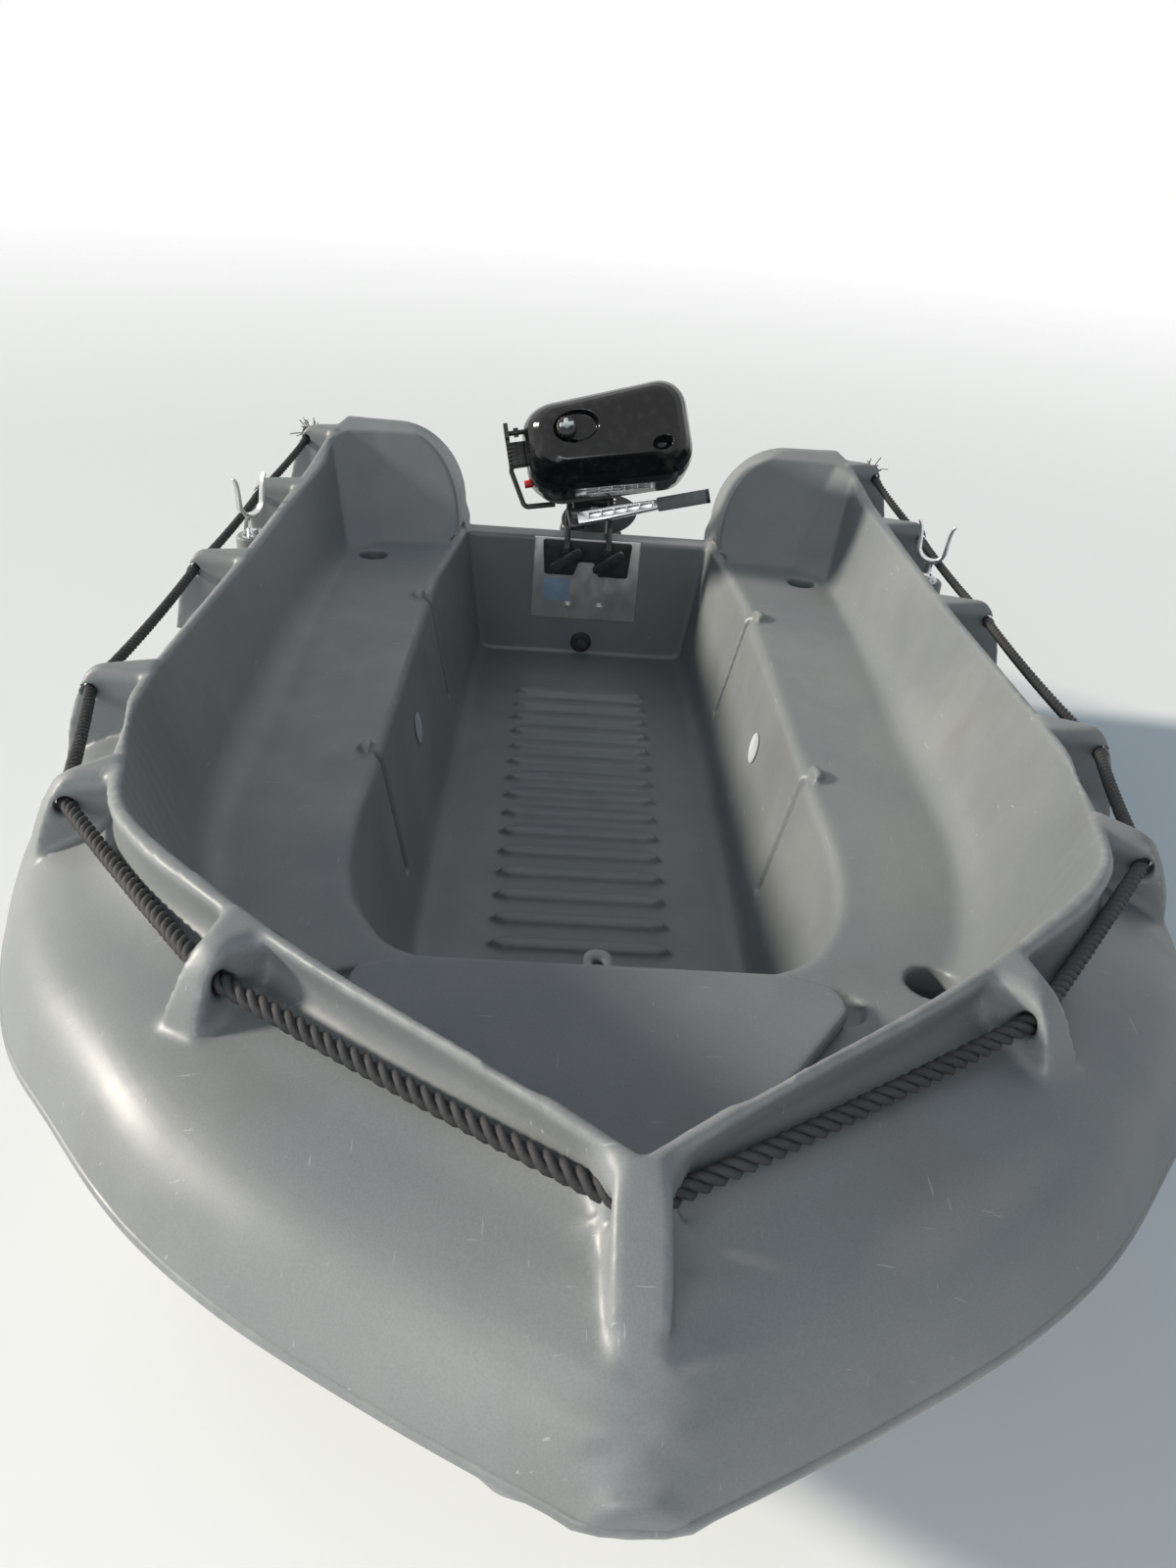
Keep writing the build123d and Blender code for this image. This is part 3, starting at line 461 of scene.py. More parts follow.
def surface(name, rings):
    """A closed surface through rings of equal numbers of points."""
    shape = bmesh.new()
    grid = [[shape.verts.new(metres(p)) for p in ring] for ring in rings]
    for ring, following in zip(grid, grid[1:]):
        for i in range(len(ring)):
            j = (i + 1) % len(ring)
            shape.faces.new((ring[i], ring[j], following[j], following[i]))
    shape.faces.new(list(reversed(grid[0])))
    shape.faces.new(grid[-1])
    bmesh.ops.triangulate(shape, faces=shape.faces[:])
    bmesh.ops.recalc_face_normals(shape, faces=shape.faces[:])
    if shape.calc_volume(signed=True) < 0:
        bmesh.ops.reverse_faces(shape, faces=shape.faces[:])
    mesh = bpy.data.meshes.new(name)
    shape.to_mesh(mesh)
    shape.free()
    return link(name, mesh)


def spaced(first, step, count):
    return [first + step * i for i in range(count)]


def ring_turns(count):
    """Angles in radians of points spread evenly round a circle."""
    return [2 * math.pi * i / count for i in range(count)]


def rod(name, low, high, radius, sides=32):
    """A round rod between two points."""
    low, high = Vector(low), Vector(high)
    across = (high - low).normalized().orthogonal().normalized()
    other = (high - low).normalized().cross(across)
    return surface(name, [[end + radius * (math.cos(turn) * across + math.sin(turn) * other)
                           for turn in ring_turns(sides)] for end in (low, high)])


def cut(piece, tools):
    """The piece less the tools, which stay as they are."""
    for tool in tools:
        modifier = piece.modifiers.new("cut", "BOOLEAN")
        modifier.operation = "DIFFERENCE"
        modifier.solver = "EXACT"
        modifier.use_hole_tolerant = True
        modifier.object = tool
    return applied(piece)


def thrown_away(pieces):
    for piece in pieces:
        bpy.data.objects.remove(piece)


def joined(pieces, name):
    """One piece with all the others' shapes, as they are."""
    shape = bmesh.new()
    for piece in pieces:
        shape.from_mesh(piece.data)
    mesh = bpy.data.meshes.new(name)
    shape.to_mesh(mesh)
    shape.free()
    thrown_away(pieces)
    return link(name, mesh)


def cubic(t, start, end, start_slope, end_slope):
    """Value at t, from 0 to 1, of the cubic curve with those ends and slopes."""
    return ((2 * t ** 3 - 3 * t ** 2 + 1) * start + (t ** 3 - 2 * t ** 2 + t) * start_slope
            + (3 * t ** 2 - 2 * t ** 3) * end + (t ** 3 - t ** 2) * end_slope)


def middle_slope(before, after):
    """Slope at a point of a curve that doesn't overshoot, from the slopes beside it."""
    if before * after <= 0:
        return 0
    return 2 * before * after / (before + after)


def line_at(line, x):
    """Half-breadth and height of a hull line at the station x, on a curve that doesn't overshoot."""
    place = []
    for axis in (1, 2):
        steps = [(b[axis] - a[axis]) / (b[0] - a[0]) for a, b in zip(line, line[1:])]
        slopes = [steps[0]] + [middle_slope(p, q) for p, q in zip(steps, steps[1:])] + [steps[-1]]
        for i, (a, b) in enumerate(zip(line, line[1:])):
            if x <= b[0] or b is line[-1]:
                length = b[0] - a[0]
                t = min((x - a[0]) / length, 1)
                place.append(cubic(t, a[axis], b[axis], length * slopes[i], length * slopes[i + 1]))
                break
    return tuple(place)


def between(first, second, share_out, share_down):
    """A point on the way from the first to the second, by its shares outward and downward."""
    return (first[0] + share_out * (second[0] - first[0]), first[1] + share_out * (second[1] - first[1]),
            first[2] + share_down * (second[2] - first[2]))


SIDES = [[between(g, lip, out, down) for g, lip in GUNWALE_AND_LIP] for out, down in TOPSIDES]
UPPER_LINES = [[(x, y - GUNWALE_BEVEL, z) for (x, y, z), lip in GUNWALE_AND_LIP],
               [(x, y, z - GUNWALE_BEVEL) for (x, y, z), lip in GUNWALE_AND_LIP]] + SIDES
LIP = [lip for g, lip in GUNWALE_AND_LIP]
LOWER_LINES = [LIP, [(x, y - 1, z - LIP_DEPTH) for x, y, z in LIP], UNDER_LIP, RUNNER_OUT, RUNNER_IN,
               TUNNEL_OUT, TUNNEL_IN, KEEL]
STEM = [line[-1] for line in SIDES[1:]]


def stem_height(x):
    for a, b in zip(STEM, STEM[1:]):
        if x <= b[0]:
            return a[2] + (b[2] - a[2]) * (x - a[0]) / (b[0] - a[0])
    return STEM[-1][2]


def rounded(points, times):
    """The same open line with its corners cut, its ends kept."""
    for _ in range(times):
        cuts = []
        for a, b in zip(points, points[1:]):
            for share in (0.25, 0.75):
                cuts.append(tuple((1 - share) * p + share * q for p, q in zip(a, b)))
        points = [points[0]] + cuts[1:-1] + [points[-1]]
    return points


def section(x):
    """Outline of the outer hull at a station."""
    lines = len(UPPER_LINES) + len(LOWER_LINES)
    if x == BOW_X:
        turns = [math.pi * (i + 0.5) / lines for i in range(lines)]
        half = [(4 + NOSE[0] * math.sin(turn), NOSE_Z + NOSE[1] * math.cos(turn)) for turn in turns]
    else:
        live = [line_at(line, x) for line in UPPER_LINES if line[-1][0] >= x]
        ended = len(UPPER_LINES) - len(live)
        top = stem_height(x)
        crest = []
        for i in range(ended):
            share = (i + 0.4) / (ended + 0.2)
            crown = 2 * math.sin(math.pi * share)
            crest.append((share * live[0][0], top + share * (live[0][1] - top) + crown))
        half = crest + live + [line_at(line, x) for line in LOWER_LINES]
    count = len(UPPER_LINES)
    half = half[:1] + rounded(half[1:count], 2) + half[count:]
    return [(x, y, z) for y, z in half] + [(x, -y, z) for y, z in reversed(half)]


def through(points, first, last, steps=5):
    """The same line, made a smooth curve between two of its points."""
    result = list(points[:first])
    for i in range(first, last):
        a, b = points[i], points[i + 1]
        before = points[i - 1] if i > first else a
        after = points[i + 2] if i + 1 < last else b
        for k in range(steps):
            result.append(tuple(cubic(k / steps, p, q, (q - o) / 2, (r - p) / 2)
                                for o, p, q, r in zip(before, a, b, after)))
    return result + list(points[last:])


def cove(radius, height):
    """How far a cove of this radius stands out from its wall at a height above the floor."""
    return radius - math.sqrt(radius ** 2 - max(radius - height, 0) ** 2)


def moved_away(point, mark, distance):
    """The point moved that far away from the mark, on the level."""
    dx, dy = point[0] - mark[0], point[1] - mark[1]
    length = math.hypot(dx, dy)
    return (point[0] + distance * dx / length, point[1] + distance * dy / length)


def both_sides(outline, z):
    """A level ring from its port half, of which the last point lies in the middle."""
    return [(x, y, z) for x, y in outline] + [(x, -y, z) for x, y in reversed(outline[:-1])]


def cockpit_tool():
    feet = through([foot for foot, edge in CREASE_AND_EDGE], 1, 9)
    edges = through([edge for foot, edge in CREASE_AND_EDGE], 1, 9)
    rings = []
    for height in (0, 1.5, 4, 8, 13, 20, 28, BENCH_COVE, COCKPIT_DEPTH):
        outline = []
        for foot, edge in zip(feet, edges):
            reach = height / (edge[2] - BENCH_Z)
            wall = (foot[0] + reach * (edge[0] - foot[0]), foot[1] + reach * (edge[1] - foot[1]))
            outline.append(moved_away(wall, edge, cove(BENCH_COVE, height)))
        rings.append(both_sides(outline, BENCH_Z + height))
    return surface("cockpit_tool", rings)


def well_tool():
    depth = BENCH_Z - FLOOR_Z
    floors = through(WELL_FLOOR, 1, 8)
    tops = through(WELL_TOP, 1, 8)
    rings = []
    for height in (0, 1.5, 4, 9, 15, WELL_COVE, depth - WELL_EDGE, depth - 8, depth - 4, depth - 1.5, depth,
                   depth + 12):
        outline = []
        rounding = cove(WELL_EDGE, max(depth - height, 0)) - cove(WELL_COVE, height)
        for floor, top in zip(floors, tops):
            share = min(height / depth, 1)
            wall = (floor[0] + share * (top[0] - floor[0]), floor[1] + share * (top[1] - floor[1]))
            inward = (wall[0] + floor[0] - top[0], wall[1] + floor[1] - top[1])
            outline.append(moved_away(wall, inward, rounding))
        rings.append(both_sides(outline, FLOOR_Z + height))
    return surface("well_tool", rings)


def transom_tool():
    """What is cut away between the stern quarters, over the low transom."""
    arch = []
    for i in range(13):
        turn = math.radians(180 - 90 * i / 12)
        arch.append((ARCH_AT[0] + ARCH[0] * math.cos(turn), ARCH_AT[1] + ARCH[1] * math.sin(turn)))
    half = [TRANSOM_EDGE] + arch + [(560, 572), (700, 540), (700, 720)]
    ring = half + [(-y, z) for y, z in reversed(half)]
    return surface("transom_tool", [[(x, y, z) for y, z in ring] for x in (STERN_X - 20, -920)])


def locker_tool():
    return surface("locker", [[(LOCKER_X + a * share, b * share, z) for a, b in LOCKER_OUTLINE]
                              for share, z in LOCKER_LEVELS])


def box(name, low, high):
    rings = [[(x, low[1], low[2]), (x, high[1], low[2]), (x, high[1], high[2]), (x, low[1], high[2])]
             for x in (low[0], high[0])]
    return surface(name, rings)


def lug(x, y, heading, gunwale_z, depth, reach):
    """A buttress that narrows away from the gunwale and fairs down into the topsides."""
    cosine, sine = math.cos(math.radians(heading)), math.sin(math.radians(heading))
    fin = SIDE_FIN if heading else BOW_FIN
    rings = []
    for share, out, half in through(fin, 0, len(fin) - 1, 4):
        side = [(-reach - 10, half + LUG_FLARE), (-0.55 * reach, half + 9), (-0.2 * reach, half + 2.5),
                (out, half)]
        outline = side + [(a, -b) for a, b in reversed(side)]
        rings.append([(x + a * cosine - b * sine, y + a * sine + b * cosine, gunwale_z - share * depth)
                      for a, b in outline])
    return surface("lug", rings)


def rope_lugs(cockpit, transom):
    """All the lugs, drilled for the rope and trimmed to the inside of the hull."""
    pieces = []
    for x, y, heading, gunwale_z, depth, reach in LUGS:
        for side in ((1, -1) if y else (1,)):
            fin = lug(x, side * y, side * heading, gunwale_z, depth, reach)
            turn = math.radians(side * heading)
            along_rope = 80 * Vector((-math.sin(turn), math.cos(turn), 0))
            centre = Vector((x, side * y, gunwale_z - LUG_DROP))
            hole = rod("rope_hole", centre - along_rope, centre + along_rope, LUG_HOLE_R)
            cut(fin, [cockpit, transom, hole])
            thrown_away([hole])
            pieces.append(fin)
    return pieces


def rubbing_band():
    """The crisp band along the chine lip, round the nose from one quarter to the other."""
    stations = spaced(STERN_X, 20, 103) + spaced(917, 7, 31)
    port = [(x, *line_at(LIP, x)) for x in stations] + BAND_NOSE
    path = port + [BAND_TIP] + [(x, -y, z) for x, y, z in reversed(port)]
    rings = []
    for i, place in enumerate(path):
        before, after = path[max(0, i - 1)], path[min(len(path) - 1, i + 1)]
        along = Vector((after[0] - before[0], after[1] - before[1], 0)).normalized()
        out = Vector((-along.y, along.x, 0))
        if i in (0, len(path) - 1):
            out = Vector((0, math.copysign(1, place[1]), 0))
        rings.append([Vector(place) + a * out + Vector((0, 0, b)) for a, b in BAND_PROFILE])
    return surface("rubbing_band", rings)


def bench_holes():
    """Cup holes in the benches and finger scoops at the lid's corners."""
    holes = []
    for side in (1, -1):
        for x, y in CUP_HOLES:
            foot, top = (x, side * y, BENCH_Z - CUP_DEPTH), (x, side * y, BENCH_Z + 25)
            holes.append(rod("cup", foot, top, CUP_R, 48))
        x, y = SCOOP_AT
        foot, top = (x, side * y, BENCH_Z - SCOOP_DEPTH), (x, side * y, BENCH_Z + 15)
        holes.append(rod("scoop", foot, top, SCOOP_R, 40))
    return holes


def groove_collars(grooves, well):
    """The raised collar round the top of each groove; grooves maps its x and side to its tool."""
    collars = []
    for (x, side), groove in grooves.items():
        y = side * COLLAR_Y
        collar = rod("collar", (x, y, BENCH_Z - 9), (x, y, BENCH_Z + COLLAR_HEIGHT), COLLAR_R)
        cut(collar, [well, groove])
        collars.append(collar)
    return collars


def floor_ribs():
    return [surface("rib", [[(x + a * share_x, b * share_y, z) for a, b in RIB_OUTLINE]
                            for share_x, share_y, z in RIB_LEVELS])
            for x in spaced(RIB_FIRST_X, -RIB_PITCH, RIBS)]


def pads_and_hinge_lugs(cockpit):
    pieces = []
    for side in (1, -1):
        x, y = ROWLOCK_AT
        pad = rod("pad", (x, side * y, 400), (x, side * y, PAD_TOP), PAD_R, 48)
        cut(pad, [cockpit])
        middle = side * HINGE_LUG_Y
        pieces.append(pad)
        pieces.append(box("hinge_lug", (HINGE_LUG_X - 10, middle - 6.5, 370),
                          (HINGE_LUG_X + 10, middle + 6.5, 391)))
    return pieces


def hull_skin():
    stations = spaced(STERN_X, 25, 83) + spaced(925, 8, 10) + spaced(1005, 7, 20) + [1143, BOW_X]
    body = surface("hull_body", [section(x) for x in stations])
    cockpit, well, transom, locker = cockpit_tool(), well_tool(), transom_tool(), locker_tool()
    recess = box("recess", (STERN_X - 20, -RECESS_HALF, -10), (TRANSOM_OUT_X, RECESS_HALF, 610))
    tow = rod("tow", (TOW_HOLE[0], -150, TOW_HOLE[1]), (TOW_HOLE[0], 150, TOW_HOLE[1]), TOW_R)
    holes = bench_holes()
    grooves = {(x, side): rod("groove", *[(x, side * y, z) for y, z in GROOVE_ENDS], GROOVE_R)
               for x in GROOVE_XS for side in (1, -1)}
    tools = [transom, recess, cockpit, well, tow, locker] + holes + list(grooves.values())
    cut(body, tools)
    pieces = [body] + rope_lugs(cockpit, transom) + groove_collars(grooves, well) + floor_ribs()
    pieces += pads_and_hinge_lugs(cockpit)
    thrown_away(tools)
    whole = joined(pieces, "hull_skin")
    remeshed(whole, 0.0042, 5, 0.15)
    whole = joined([whole, rubbing_band()], "hull_skin")
    shade_smooth(whole, 60)
    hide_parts("hull")
    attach(whole, "hull")
    return whole


hull = hull_skin()
hull.data.materials.append(hull_plastic)
lid = remeshed(copy_of("bow_lid", "bow_lid_skin"), 0.0035, 5, 0.5)
lid.data.materials.append(lid_plastic)
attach(lid, "bow_lid")


# Rowlocks and the motor's upper parts, drawn in the CAD's own frames, in millimetres
TILT_PIN = (-1108, 0, 430)
PARKED_TILT = 60
STEER_AXIS_X = -68
PARKED_STEER = -78
TILLER_HINGE = (-28, 120, 84)
TILLER_FOLD = -172
HEAD = Matrix.Translation(TILT_PIN) @ Matrix.Rotation(math.radians(PARKED_TILT), 4, "Y")
TURNED = (HEAD @ Matrix.Translation((STEER_AXIS_X, 0, 0))
          @ Matrix.Rotation(math.radians(PARKED_STEER), 4, "Z") @ Matrix.Translation((-STEER_AXIS_X, 0, 0)))
FOLDED = TURNED @ Matrix.Translation(TILLER_HINGE) @ Matrix.Rotation(math.radians(TILLER_FOLD), 4, "Y")
COWL_MIDDLE = -90
# Height, length, width behind, width in front, corner radius, and how far the level rises to the rear
COWL_LEVELS = [
    (130, 334, 198, 170, 58, 0),
    (140, 339, 204, 174, 60, 0),
    (180, 342, 207, 175, 62, 0.010),
    (222, 341, 206, 170, 62, 0.030),
    (252, 334, 198, 160, 60, 0.045),
    (274, 320, 184, 146, 56, 0.060),
    (290, 300, 166, 130, 52, 0.070),
    (301, 274, 146, 112, 46, 0.075),
    (307, 244, 122, 90, 40, 0.078),
]
# Hollows in the cowl's top, round the fuel cap and near its other end: middle, and levels
# (z, half length, half width)
CAP_RECESS_AT = (-24, -14)
CAP_RECESS = ((293, 41, 27), (300, 45, 31), (330, 58, 44))
DENT_AT = (-190, 46)
DENT = ((297, 10, 6), (330, 34, 22))
CAP_AT = (-6, -14)
CAP_R = 20.5
GRIP_R = 15
# Rowlock's horn from its tip down, and its neck, in levels (z, radius)
HORN = [(-34, 105), (-30, 98), (-27.5, 88), (-26, 74), (-25, 58)]
NECK = ((-50, 6.3), (-0.2, 6.3), (0, 11), (6, 11), (9, 7.5), (22, 6.5), (32, 8))
ROWLOCK_Z = 468.3
ROWLOCK_R = 25


def placed(frame_matrix, points):
    return [tuple(frame_matrix @ Vector(p)) for p in points]


def rounded_level(z, length, rear, front, radius, rise):
    """A level of the cowl: a rectangle with round corners that narrows to the front."""
    ring = []
    for sx, sy, start in ((1, 1, 0), (-1, 1, 90), (-1, -1, 180), (1, -1, 270)):
        for i in range(9):
            turn = math.radians(start + 90 * i / 8)
            x = sx * (length / 2 - radius) + radius * math.cos(turn)
            y = sy * (rear / 2 - radius) + radius * math.sin(turn)
            y *= 1 - (1 - front / rear) * (x + length / 2) / length
            ring.append((COWL_MIDDLE + x, y, z - rise * x))
    return ring


def dressed(piece, node_name, body, material, shade_angle=40):
    """Breaks a drawn piece's edges, puts its material on it and sets it in a node's place."""
    bevelled(piece, 0.0006, 2, 30, shade_angle)
    return finished(piece, node_name, body, material)


def finished(piece, node_name, body, material):
    piece.data.materials.append(material)
    if node_name:
        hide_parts(node_name)
    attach(piece, body)
    return piece


def in_frame(frame_matrix, low, high):
    """A box that lies along the frame's axes."""
    return surface("block", [placed(frame_matrix, [(x, low[1], low[2]), (x, high[1], low[2]),
                                                   (x, high[1], high[2]), (x, low[1], high[2])])
                             for x in (low[0], high[0])])


def turned_rod(frame_matrix, low, high, radius, sides=32):
    return rod("rod", frame_matrix @ Vector(low), frame_matrix @ Vector(high), radius, sides)


def oval(frame_matrix, centre, half_length, half_width, z, count):
    """A level oval ring in a frame."""
    x, y = centre
    return placed(frame_matrix, [(x + half_length * math.cos(turn), y + half_width * math.sin(turn), z)
                                 for turn in ring_turns(count)])


def ribbed(frame_matrix, axis_low, axis_high, radius, ribs, depth, rounds):
    """A cylinder with ribs along it; rounds lists shares of its length and of its radius."""
    low, high = Vector(axis_low), Vector(axis_high)
    along = (high - low).normalized()
    across = along.orthogonal().normalized()
    other = along.cross(across)
    rings = []
    for share, width in rounds:
        ring = []
        for i, turn in enumerate(ring_turns(4 * ribs)):
            r = radius * width - (depth if i % 4 in (0, 1) and width > 0.9 else 0)
            ring.append(low.lerp(high, share) + r * (math.cos(turn) * across + math.sin(turn) * other))
        rings.append(placed(frame_matrix, ring))
    return surface("ribbed", rings)


def rowlock(side, swing):
    """Flat U with tapering, flaring horns on a collar and a shank."""
    frame_matrix = (Matrix.Translation((ROWLOCK_AT[0], side * ROWLOCK_AT[1], ROWLOCK_Z))
                    @ Matrix.Rotation(math.radians(swing), 4, "Z"))
    bottom = []
    for i in range(1, 12):
        turn = math.pi + math.pi * i / 12
        bottom.append((ROWLOCK_R * math.cos(turn), 56 + ROWLOCK_R * math.sin(turn)))
    path = HORN + bottom + [(-x, z) for x, z in reversed(HORN)]
    halfway = (len(path) - 1) / 2
    rings = []
    for i, (x, z) in enumerate(path):
        before, after = path[max(0, i - 1)], path[min(len(path) - 1, i + 1)]
        along = Vector((after[0] - before[0], 0, after[1] - before[1])).normalized()
        out = Vector((along.z, 0, -along.x))
        share = 1 - abs(i - halfway) / halfway
        thick, wide = 2.6 + 1.9 * share, 4.6 + 3.0 * share
        quarter = [(-thick, -wide + 1.2), (-thick, wide - 1.2), (-thick + 1.2, wide), (thick - 1.2, wide)]
        outline = quarter + [(-a, -b) for a, b in quarter]
        rings.append(placed(frame_matrix, [Vector((x, b, z)) + a * out for a, b in outline]))
    fork = surface("fork", rings)
    neck = surface("neck", [oval(frame_matrix, (0, 0), r, r, z, 28) for z, r in NECK])
    return joined([fork, neck], "rowlock")


for side, swing, name in ((1, 60, "rowlock_port"), (-1, 140, "rowlock_starboard")):
    dressed(rowlock(side, swing), name, name, bright_metal, 50)

cowl = surface("cowl", [placed(TURNED, rounded_level(*level)) for level in COWL_LEVELS])
recess = surface("cap_recess", [oval(TURNED, CAP_RECESS_AT, a, b, z, 48) for z, a, b in CAP_RECESS])
dent = surface("dent", [oval(TURNED, DENT_AT, a, b, z, 32) for z, a, b in DENT])
cut(cowl, [recess, dent])
thrown_away([recess, dent])
remeshed(cowl, 0.0022, 5, 0.6)
finished(cowl, "motor_cowl", "motor_steer", cowl_gloss)

cap = ribbed(TURNED, (*CAP_AT, 290), (*CAP_AT, 313), CAP_R, 18, 1.3,
             ((0, 1), (0.82, 1), (0.92, 0.955), (0.97, 0.88), (1.0, 0.74)))
dressed(cap, "fuel_cap", "motor_steer", black_plastic)
vent = joined([turned_rod(TURNED, (*CAP_AT, 308), (*CAP_AT, 322), 6.5),
               in_frame(TURNED, (-20, -18, 315), (8, -10, 324)),
               in_frame(TURNED, (-10, -26, 315), (-2, -14, 323))], "fuel_vent")
remeshed(vent, 0.0011, 3, 0.5)
finished(vent, None, "motor_steer", vent_plastic)

grip = ribbed(FOLDED, (162, 0, 0), (268, 0, 0), GRIP_R, 20, 0.9,
              ((0, 0.86), (0.03, 1), (0.97, 1), (1.0, 0.95)))
dressed(grip, "tiller_grip", "motor_steer", grip_grey)
grip_end = turned_rod(FOLDED, (268, 0, 0), (275, 0, 0), GRIP_R + 0.4, 40)
dressed(grip_end, None, "motor_steer", black_plastic)

choke = joined([turned_rod(TURNED, (70, -44, 212), (112, -44, 212), 5, 20),
                in_frame(TURNED, (108, -60, 186), (117, -30, 234)),
                in_frame(TURNED, (88, -50, 200), (98, -38, 226))], "choke_lever")
dressed(choke, None, "motor_steer", black_plastic)
guide = [in_frame(TURNED, (72, -8, 196), (92, 8, 214))]
guide += [in_frame(TURNED, (94, y, 192), (117, y + 4, 218)) for y in spaced(-24, 8, 6)]
dressed(joined(guide, "starter_ribs"), None, "motor_steer", black_plastic)


# Grab rope

def rope_line():
    """Points along the rope, a few millimetres apart, with a slight sag between lugs."""
    port = [Vector(p) for p in ROPE_HOLES]
    holes = port + [Vector((p.x, -p.y, p.z)) for p in reversed(port[:-1])]
    ends = [holes[0] + Vector((-0.030, 0, 0)), holes[-1] + Vector((-0.030, 0, 0))]
    holes = [ends[0]] + holes + [ends[1]]
    points = []
    for a, b in zip(holes, holes[1:]):
        length = (b - a).length
        steps = max(2, round(length / 0.010))
        sag = ROPE_SAG * length
        for i in range(steps):
            t = i / steps
            points.append(a.lerp(b, t) - Vector((0, 0, sag * 4 * t * (1 - t))))
    return points + [holes[-1]]


def softened(points, rounds):
    """The same line with its bends made soft."""
    for _ in range(rounds):
        middle = [(a + 2 * b + c) / 4 for a, b, c in zip(points, points[1:], points[2:])]
        points = [points[0]] + middle + [points[-1]]
    return points


def strand(mesh, points, phase, offset, radius, lay, sides=7):
    """One strand that winds round the line of points, as a closed tube."""
    up = Vector((0, 0, 1))
    travelled = 0.0
    rings = []
    for i, p in enumerate(points):
        before = points[max(0, i - 1)]
        after = points[min(len(points) - 1, i + 1)]
        along = (after - before).normalized()
        travelled += (p - before).length
        side = along.cross(up).normalized()
        rise = side.cross(along).normalized()
        turn = phase - 2 * math.pi * travelled / lay
        centre = p + offset * (math.cos(turn) * side + math.sin(turn) * rise)
        ring = [mesh.verts.new(centre + radius * (math.cos(a) * side + math.sin(a) * rise))
                for a in ring_turns(sides)]
        rings.append(ring)
    for ring, following in zip(rings, rings[1:]):
        for k in range(sides):
            mesh.faces.new((ring[k], ring[(k + 1) % sides], following[(k + 1) % sides], following[k]))
    mesh.faces.new(list(reversed(rings[0])))
    mesh.faces.new(rings[-1])


def finer(points, step):
    """The same line in steps of about that length."""
    result = []
    for a, b in zip(points, points[1:]):
        count = max(1, round((b - a).length / step))
        result += [a.lerp(b, i / count) for i in range(count)]
    return result + [points[-1]]


def fibre_piece(name, shape):
    """A piece of rope from a finished mesh."""
    mesh = bpy.data.meshes.new(name)
    shape.to_mesh(mesh)
    shape.free()
    piece = link(name, mesh)
    shade_smooth(piece)
    piece.data.materials.append(fibre)
    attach(piece, "hull")
    return piece


def three_strand(name, points, radius, lay):
    shape = bmesh.new()
    for phase in ring_turns(3):
        strand(shape, points, phase, radius * 0.53, radius * 0.52, lay)
    return fibre_piece(name, shape)


def knot_line(centre, size):
    """A simple overhand knot as a closed trefoil, opened at one side."""
    points = []
    for turn in ring_turns(60):
        t = turn + math.pi / 60
        x = math.sin(t) + 2 * math.sin(2 * t)
        y = math.cos(t) - 2 * math.cos(2 * t)
        z = -math.sin(3 * t)
        points.append(centre + size / 3 * Vector((z * 0.8, x, y)))
    return points


def scattered(low, high):
    """A random vector between two corners."""
    return Vector([random.uniform(a, b) for a, b in zip(low, high)])


def frayed_end(name, side, end):
    """Loose fibres that stand out from the knot, mostly aft."""
    fray = bmesh.new()
    for _ in range(FRAY_FIBRES):
        out = scattered((-1.0, -0.5, -0.2), (0.1, 0.9, 1.0))
        out = Vector((out.x, side * out.y, out.z)).normalized()
        bend = 0.010 * scattered((-1, -1, -1.2), (1, 1, 0.4))
        length = random.uniform(0.016, 0.036)
        line = [end + out * (0.006 + length * k / 6) + bend * (k / 6) ** 2 for k in range(7)]
        strand(fray, line, 0, 0.0, random.uniform(0.0007, 0.0012), 1.0, 5)
    fibre_piece(name, fray)


rope = three_strand("grab_rope_strands", finer(softened(rope_line(), 2), 0.0045), ROPE_R, ROPE_LAY)
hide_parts("grab_rope")
for side, name in ((1, "port"), (-1, "starboard")):
    x, y, z = ROPE_HOLES[0]
    end = Vector((x - KNOT_AFT, side * y, z))
    three_strand("rope_knot_" + name, finer(knot_line(end, KNOT_SIZE), 0.003), KNOT_ROPE_R, KNOT_LAY)
    frayed_end("rope_fray_" + name, side, end)


# Stage, light and camera

FLOOR_SIZE = 300
# Distances from the boat between which the floor fades into the white background
FADE_FROM = 3.5
FADE_TO = 11.0


def add_stage():
    bpy.ops.mesh.primitive_plane_add(size=FLOOR_SIZE, location=(0, 0, 0))
    floor = bpy.context.object
    floor.name = "floor"
    material, tree, shader = new_material("floor")
    shader.inputs["Base Color"].default_value = (0.90, 0.90, 0.89, 1)
    shader.inputs["Roughness"].default_value = 0.9
    away = node(tree, "ShaderNodeVectorMath")
    away.operation = "LENGTH"
    tree.links.new(coordinates_of(tree), away.inputs[0])
    fade = node(tree, "ShaderNodeMapRange", From_Min=FADE_FROM, From_Max=FADE_TO, To_Min=1.0, To_Max=0.0)
    tree.links.new(away.outputs["Value"], fade.inputs["Value"])
    tree.links.new(fade.outputs["Result"], shader.inputs["Alpha"])
    floor.data.materials.append(material)


def add_lamp(name, place, aim, size, power):
    lamp = bpy.data.lights.new(name, "AREA")
    lamp.size = size
    lamp.energy = power
    item = bpy.data.objects.new(name, lamp)
    item.location = place
    item.rotation_euler = (Vector(aim) - Vector(place)).to_track_quat("-Z", "Y").to_euler()
    bpy.context.scene.collection.objects.link(item)


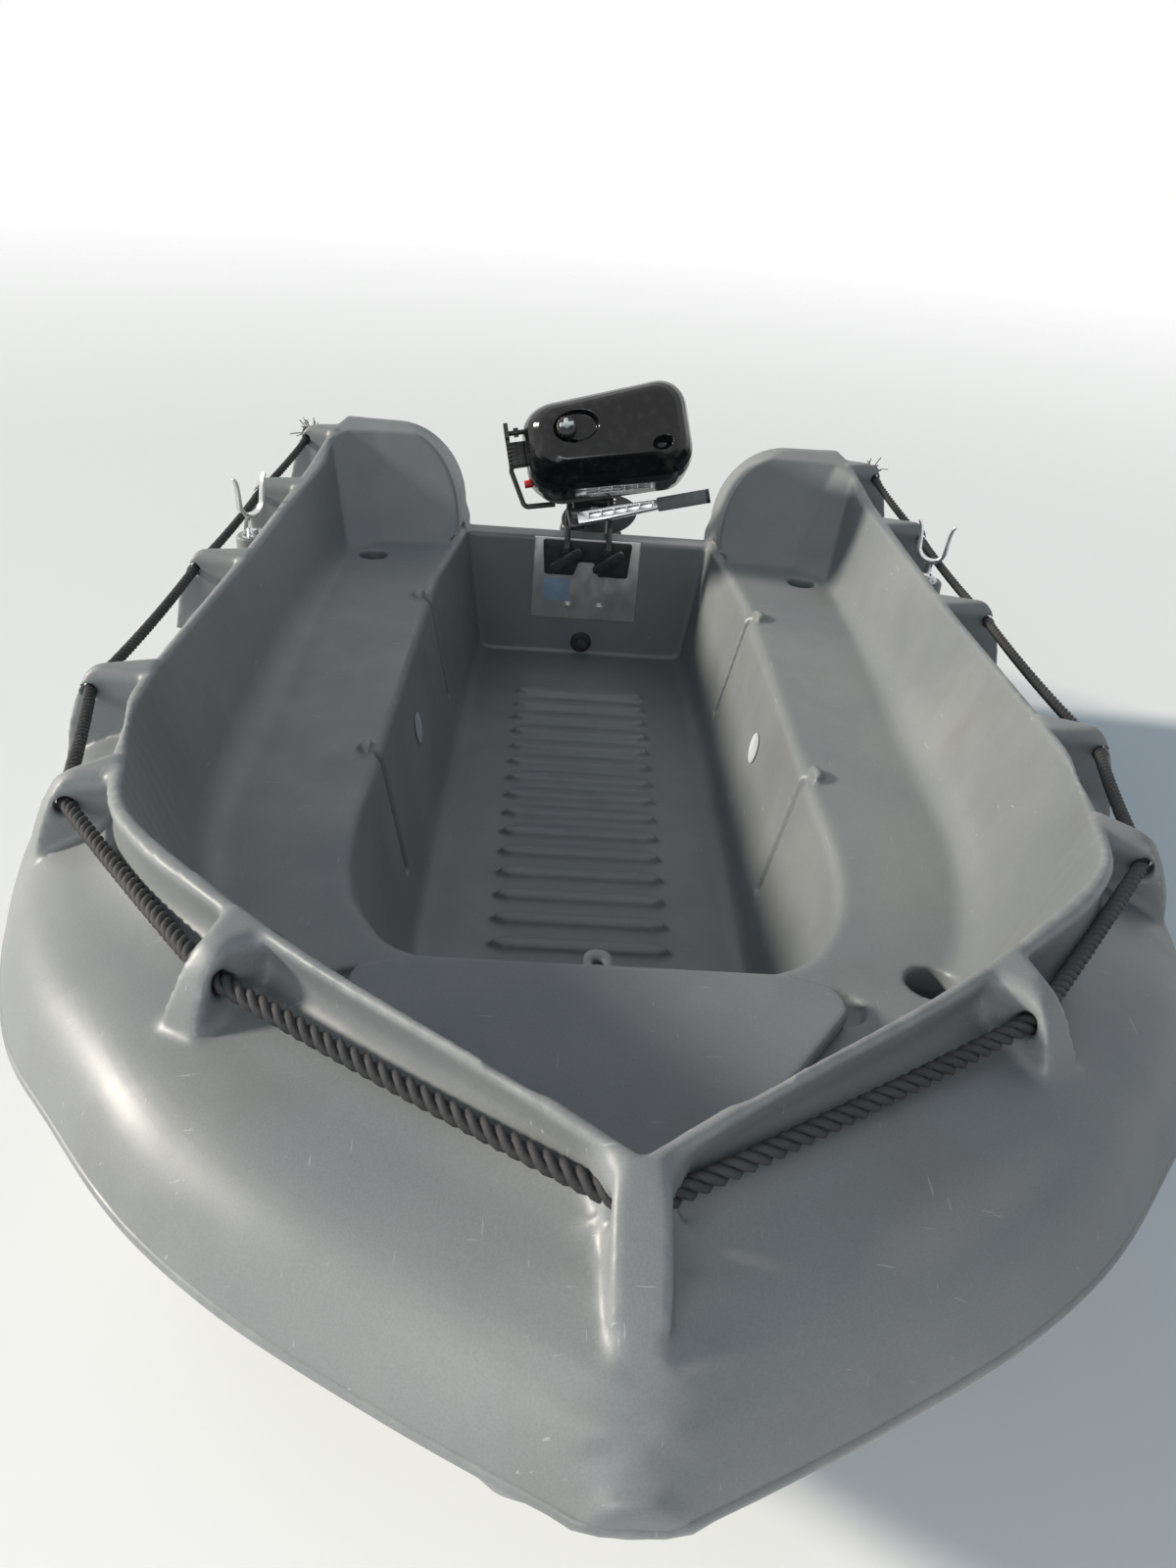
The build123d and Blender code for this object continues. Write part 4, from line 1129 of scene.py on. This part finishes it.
def add_sun(name, towards, angle, strength, colour):
    """A soft sun that shines from that direction."""
    lamp = bpy.data.lights.new(name, "SUN")
    lamp.energy = strength
    lamp.angle = math.radians(angle)
    lamp.color = colour
    item = bpy.data.objects.new(name, lamp)
    item.rotation_euler = Vector(towards).to_track_quat("Z", "Y").to_euler()
    bpy.context.scene.collection.objects.link(item)


def larger(tree, first, second):
    made = tree.nodes.new("ShaderNodeMath")
    made.operation = "MAXIMUM"
    tree.links.new(first, made.inputs[0])
    tree.links.new(second, made.inputs[1])
    return made.outputs[0]


def add_world():
    """A pale blue sky for the light, and white where the camera, glossy and clear surfaces look at it."""
    world = bpy.data.worlds.new("world")
    bpy.context.scene.world = world
    world.use_nodes = True
    tree = world.node_tree
    lit = tree.nodes["Background"]
    lit.inputs["Color"].default_value = (0.68, 0.85, 1.0, 1)
    lit.inputs["Strength"].default_value = 0.33
    shown = node(tree, "ShaderNodeBackground", Color=(1, 1, 1, 1), Strength=1.0)
    path = tree.nodes.new("ShaderNodeLightPath")
    seen = larger(tree, path.outputs["Is Camera Ray"], path.outputs["Is Glossy Ray"])
    seen = larger(tree, seen, path.outputs["Is Transmission Ray"])
    mix = tree.nodes.new("ShaderNodeMixShader")
    tree.links.new(seen, mix.inputs[0])
    tree.links.new(lit.outputs[0], mix.inputs[1])
    tree.links.new(shown.outputs[0], mix.inputs[2])
    tree.links.new(mix.outputs[0], tree.nodes["World Output"].inputs["Surface"])


def add_camera():
    data = bpy.data.cameras.new("camera")
    data.lens = CAMERA_LENS
    camera = bpy.data.objects.new("camera", data)
    bpy.context.scene.collection.objects.link(camera)
    turn = (CAMERA_AT - CAMERA_AIM).to_track_quat("Z", "Y").to_matrix().to_4x4()
    camera.matrix_world = Matrix.Translation(CAMERA_AT) @ turn @ Matrix.Rotation(CAMERA_ROLL, 4, "Z")
    bpy.context.scene.camera = camera


add_camera()
add_stage()
add_world()
add_sun("key", towards=(-0.10, -0.92, 0.36), angle=8, strength=4.8, colour=(1.0, 0.94, 0.84))
add_lamp("bow", place=(3.2, -0.9, 1.5), aim=(1.1, 0, 0.4), size=1.4, power=30)
bpy.context.scene.view_settings.view_transform = "Standard"
